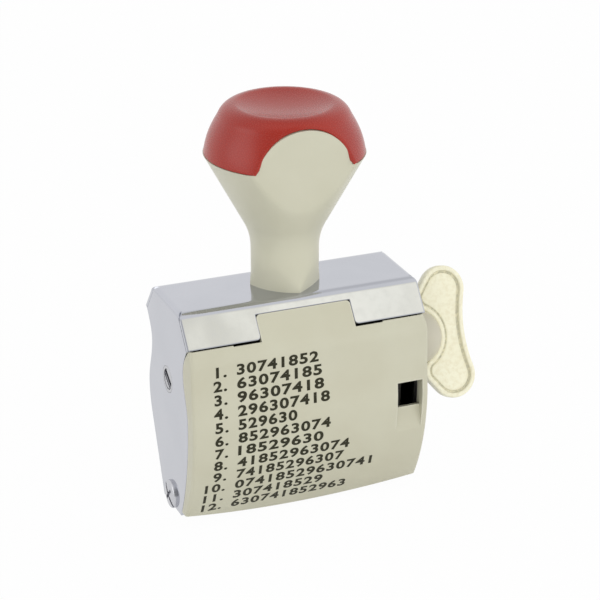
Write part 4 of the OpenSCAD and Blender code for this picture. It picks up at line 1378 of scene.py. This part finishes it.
@dataclass
class PrintedList:
    """Numbered lines printed on the face, as bold plain numerals a little proud of it."""

    cover: FrontCover
    counts: Sequence[int] = (8, 8, 8, 9, 6, 9, 8, 11, 11, 14, 9, 12)
    widths: Sequence[float] = (20.5, 21.3, 21.8, 23.2, 14.8, 23.4, 21.7, 28.7, 27.6, 35.4, 23.0, 29.6)
    first_digit: int = 3
    line_step: int = 3
    digit_step: int = 7
    first_drop: float = 13.85
    pitch: float = 3.47
    number_x: float = -21.4
    text_x: float = -18.9
    size: float = 3.6
    bold: float = 0.12
    spread: float = 1.14
    stretch: float = 1.2
    proud: float = 0.03
    curve_steps: int = 4
    face_steps: int = 200

    def numerals(self, words: str) -> Part:
        """Flat bold numerals from the origin along X, as points of a mesh and its faces."""
        curve = bpy.data.curves.new("line", "FONT")
        curve.body, curve.size, curve.resolution_u = words, self.size, self.curve_steps
        curve.offset, curve.space_character = self.bold, self.spread
        carrier = bpy.data.objects.new("line", curve)
        bpy.context.scene.collection.objects.link(carrier)
        depsgraph = bpy.context.evaluated_depsgraph_get()
        mesh = bpy.data.meshes.new_from_object(carrier.evaluated_get(depsgraph))
        flat = np.zeros(len(mesh.vertices) * 3)
        mesh.vertices.foreach_get("co", flat)
        faces = [list(p.vertices) for p in mesh.polygons]
        bpy.data.objects.remove(carrier)
        bpy.data.curves.remove(curve)
        bpy.data.meshes.remove(mesh)
        return flat.reshape(-1, 3), faces

    def lay(self, flat: Array, x: float, way: float) -> Array:
        """Lays flat numerals on the face: their height becomes way up it, from the way of their base line.

        Args:
            flat: points of the flat numerals.
            x: place that their own X starts from.
            way: way of the base line down the face.

        Returns:
            Points on the face.
        """
        drops = np.linspace(self.first_drop - 2 * self.pitch, self.cover.outline.top, self.face_steps)
        ways = line_way(coords(self.cover.face(drops), drops))
        start = np.interp(self.first_drop, drops, ways)
        drop = np.interp(start + way - flat[:, 1], ways, drops)
        return coords(x + flat[:, 0], -self.cover.face(drop) - self.proud, self.cover.outline.top - drop)

    def build(self) -> None:
        """Prints the numbers, which end at one place, and a row of digits of a set width for each line."""
        parts = []
        for i, (count, width) in enumerate(zip(self.counts, self.widths)):
            label, faces = self.numerals(f"{i + 1}.")
            label = label * [self.stretch, 1, 1]
            parts.append((self.lay(label, self.number_x - label[:, 0].max(), i * self.pitch), faces))
            first = self.first_digit + self.line_step * i
            row, faces = self.numerals("".join(str((first + self.digit_step * k) % 10) for k in range(count)))
            row = (row - [row[:, 0].min(), 0, 0]) * [width / np.ptp(row[:, 0]), 1, 1]
            parts.append((self.lay(row, self.text_x, i * self.pitch), faces))
        hand_over(mesh_object("printed_list", parts), Body.STAMP, Finish.cream_moulding, coat=PRINT_INK)


# Stage

@dataclass(frozen=True)
class Patch:
    """A soft round patch of the surroundings that differs from the rest by a colour; angles in degrees."""

    way: Place
    inner: float
    outer: float
    change: Colour

    def added(self, nodes: Nodes, way: Socket, light: Any) -> Socket:
        """Light of the surroundings with the patch added: its change, fading between its two angles."""
        aim = tuple(float(v) for v in unit(np.array(self.way)))
        ends = (math.cos(math.radians(self.outer)), math.cos(math.radians(self.inner)))
        sockets = {0: self.change, "Scale": nodes.span(nodes.dot(way, aim), ends, WHOLE, "SMOOTHSTEP")}
        change = nodes.node("ShaderNodeVectorMath", sockets, operation="SCALE").outputs[0]
        return nodes.node("ShaderNodeVectorMath", {0: light, 1: change}).outputs[0]


@dataclass
class Studio:
    """White floor and surroundings, one large softbox, and the camera at the photograph's view."""

    azimuth: float = math.radians(-22.352)
    elevation: float = math.radians(23.118)
    distance: float = 551.942
    focal_px: float = 2305.935
    image_px: float = 600.0
    sensor: float = 36.0
    clip: Span = (0.01, 50.0)
    aim: Place = (3.894, 0.0, 49.462)
    horizon: float = 0.95
    zenith: float = 0.46
    fill_patches: Sequence[Patch] = (Patch((-0.80, -0.55, 0.20), 10.0, 75.0, (0.42, 0.42, 0.41)),
                                     Patch((0.90, -0.35, 0.10), 10.0, 65.0, (0.42, 0.42, 0.41)))
    mirror_patches: Sequence[Patch] = (Patch((0.365, -0.584, 0.731), 1.0, 9.0, (0.22, 0.19, 0.0)),
                                       Patch((0.365, -0.584, 0.731), 0.2, 3.8, (0.32, 0.32, 0.30)),
                                       Patch((0.15, 0.40, 0.90), 8.0, 30.0, (-0.2, -0.2, -0.2)),
                                       Patch((-0.40, -0.85, 0.30), 12.0, 58.0, (-0.6, -0.6, -0.6)),
                                       Patch((-1.0, 0.0, 0.25), 8.0, 30.0, (0.8, 0.8, 0.8)))
    box_way: Place = (0.34, -0.86, 0.38)
    box_gap: float = 620.0
    box_side: float = 520.0
    box_light: float = 0.66
    floor_side: float = 6000.0
    floor_drop: float = 0.02
    floor_paint: float = 0.86
    floor_glow: float = 0.975
    floor_mirror: float = 0.8

    def stand(self, made: Object, way: Vector, gap: float) -> None:
        """Stands an object a gap from the aim on a way, turned to look back at the aim."""
        made.location = (Vector(self.aim) + way * gap) * MM
        made.rotation_mode = "QUATERNION"
        made.rotation_quaternion = way.to_track_quat("Z", "Y")
        bpy.context.scene.collection.objects.link(made)

    def camera(self) -> None:
        """Sets the camera back from its aim along its azimuth and elevation."""
        a, e = self.azimuth, self.elevation
        back = Vector((math.sin(a) * math.cos(e), -math.cos(a) * math.cos(e), math.sin(e)))
        lens = bpy.data.cameras.new("view")
        lens.sensor_width, lens.lens = self.sensor, self.focal_px * self.sensor / self.image_px
        lens.clip_start, lens.clip_end = self.clip
        made = bpy.data.objects.new("view", lens)
        self.stand(made, back, self.distance)
        bpy.context.scene.camera = made

    def seen(self, nodes: Nodes) -> Socket:
        """1 for rays from the camera and for transmitted rays, and 0 for others."""
        return nodes.sum(nodes.ray("Is Camera Ray"), nodes.ray("Is Transmission Ray"), "MAXIMUM")

    def world(self) -> None:
        """White surroundings: plain white where they are seen, soft patches in mirrors, and a lower fill."""
        world = bpy.data.worlds.new("surroundings")
        bpy.context.scene.world = world
        world.use_nodes = True
        nodes = Nodes(world.node_tree)
        way = nodes.node("ShaderNodeTexCoord", {}).outputs["Generated"]
        level = nodes.span(nodes.dot(way, (0.0, 0.0, 1.0)), WHOLE, (self.horizon, self.zenith))
        fill: Any = nodes.node("ShaderNodeCombineXYZ", {0: level, 1: level, 2: level}).outputs[0]
        mirror: Any = WHITE
        for patch in self.fill_patches:
            fill = patch.added(nodes, way, fill)
        for patch in self.mirror_patches:
            mirror = patch.added(nodes, way, mirror)
        light = nodes.blend(nodes.ray("Is Glossy Ray"), fill, mirror)
        light = nodes.blend(self.seen(nodes), light, WHITE)
        white = nodes.node("ShaderNodeBackground", {"Color": light, "Strength": 1.0})
        nodes.node("ShaderNodeOutputWorld", {"Surface": white.outputs[0]})

    def floor(self) -> None:
        """White floor that is white where it is seen, and keeps a light shadow."""
        place = np.linspace(-self.floor_side / 2, self.floor_side / 2, 3)
        made = mesh_object("floor", [grid(coords(place[:, None], place, -self.floor_drop))])
        paint = bpy.data.materials.new("floor_white")
        paint.use_nodes = True
        nodes = Nodes(paint.node_tree)
        matt = nodes.node("ShaderNodeBsdfDiffuse", {"Color": (*[self.floor_paint] * 3, 1.0)}).outputs[0]
        glow = nodes.node("ShaderNodeEmission", {"Strength": 1.0}).outputs[0]
        share = nodes.sum(nodes.sum(self.seen(nodes), self.floor_glow, "MULTIPLY"),
                          nodes.sum(nodes.ray("Is Glossy Ray"), self.floor_mirror, "MULTIPLY"), "MAXIMUM")
        mixed = nodes.node("ShaderNodeMixShader", {0: share, 1: matt, 2: glow})
        nodes.node("ShaderNodeOutputMaterial", {"Surface": mixed.outputs[0]})
        made.data.materials.append(paint)

    def softbox(self) -> None:
        """A square softbox, unseen in mirrors, whose power is its radiance times pi times its area."""
        lamp = bpy.data.lights.new("softbox", "AREA")
        lamp.shape, lamp.size = "SQUARE", self.box_side * MM
        lamp.energy = self.box_light * math.pi * (self.box_side * MM) ** 2
        made = bpy.data.objects.new("softbox", lamp)
        made.visible_glossy = False
        self.stand(made, Vector(self.box_way).normalized(), self.box_gap)

    def build(self) -> None:
        """Sets up the whole stage."""
        self.camera()
        self.world()
        self.floor()
        self.softbox()
        bpy.context.scene.view_settings.view_transform = "Standard"


# Nodes that keep their own shape

CARRIED: dict[Finish, Sequence[str]] = {
    Finish.screw_steel: ("handle_screw", "handle_washer", "key_washer", "thrust_washer"),
    Finish.shaft_steel: ("left_bush", "right_bush", "drum_pin", "detent_cam"),
    Finish.spring_steel: ("detent_spring", "retaining_clip"),
    Finish.band_rubber: ("text_band",),
    Finish.platen_metal: ("platen",),
    Finish.dark_moulding: ("band_drum",),
}


def dress_nodes() -> None:
    """Gives each node that keeps its own shape a detailed finish."""
    for finish, names in CARRIED.items():
        for name in names:
            dress(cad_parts[name], finish.value)
            log.info("%s keeps its shape, finished as %s", name, finish.name)


def main() -> None:
    """Builds the pieces in order, dresses the rest and sets the stage."""
    logging.basicConfig(level=logging.INFO, format="%(name)s %(message)s")
    Housing().build()
    cover = FrontCover()
    cover.build()
    RearCover().build()
    Handle().build()
    WingKey().build()
    DriveShaft().build()
    PlatenScrews().build()
    PrintedList(cover).build()
    dress_nodes()
    Studio().build()


if __name__ == "__main__":
    main()
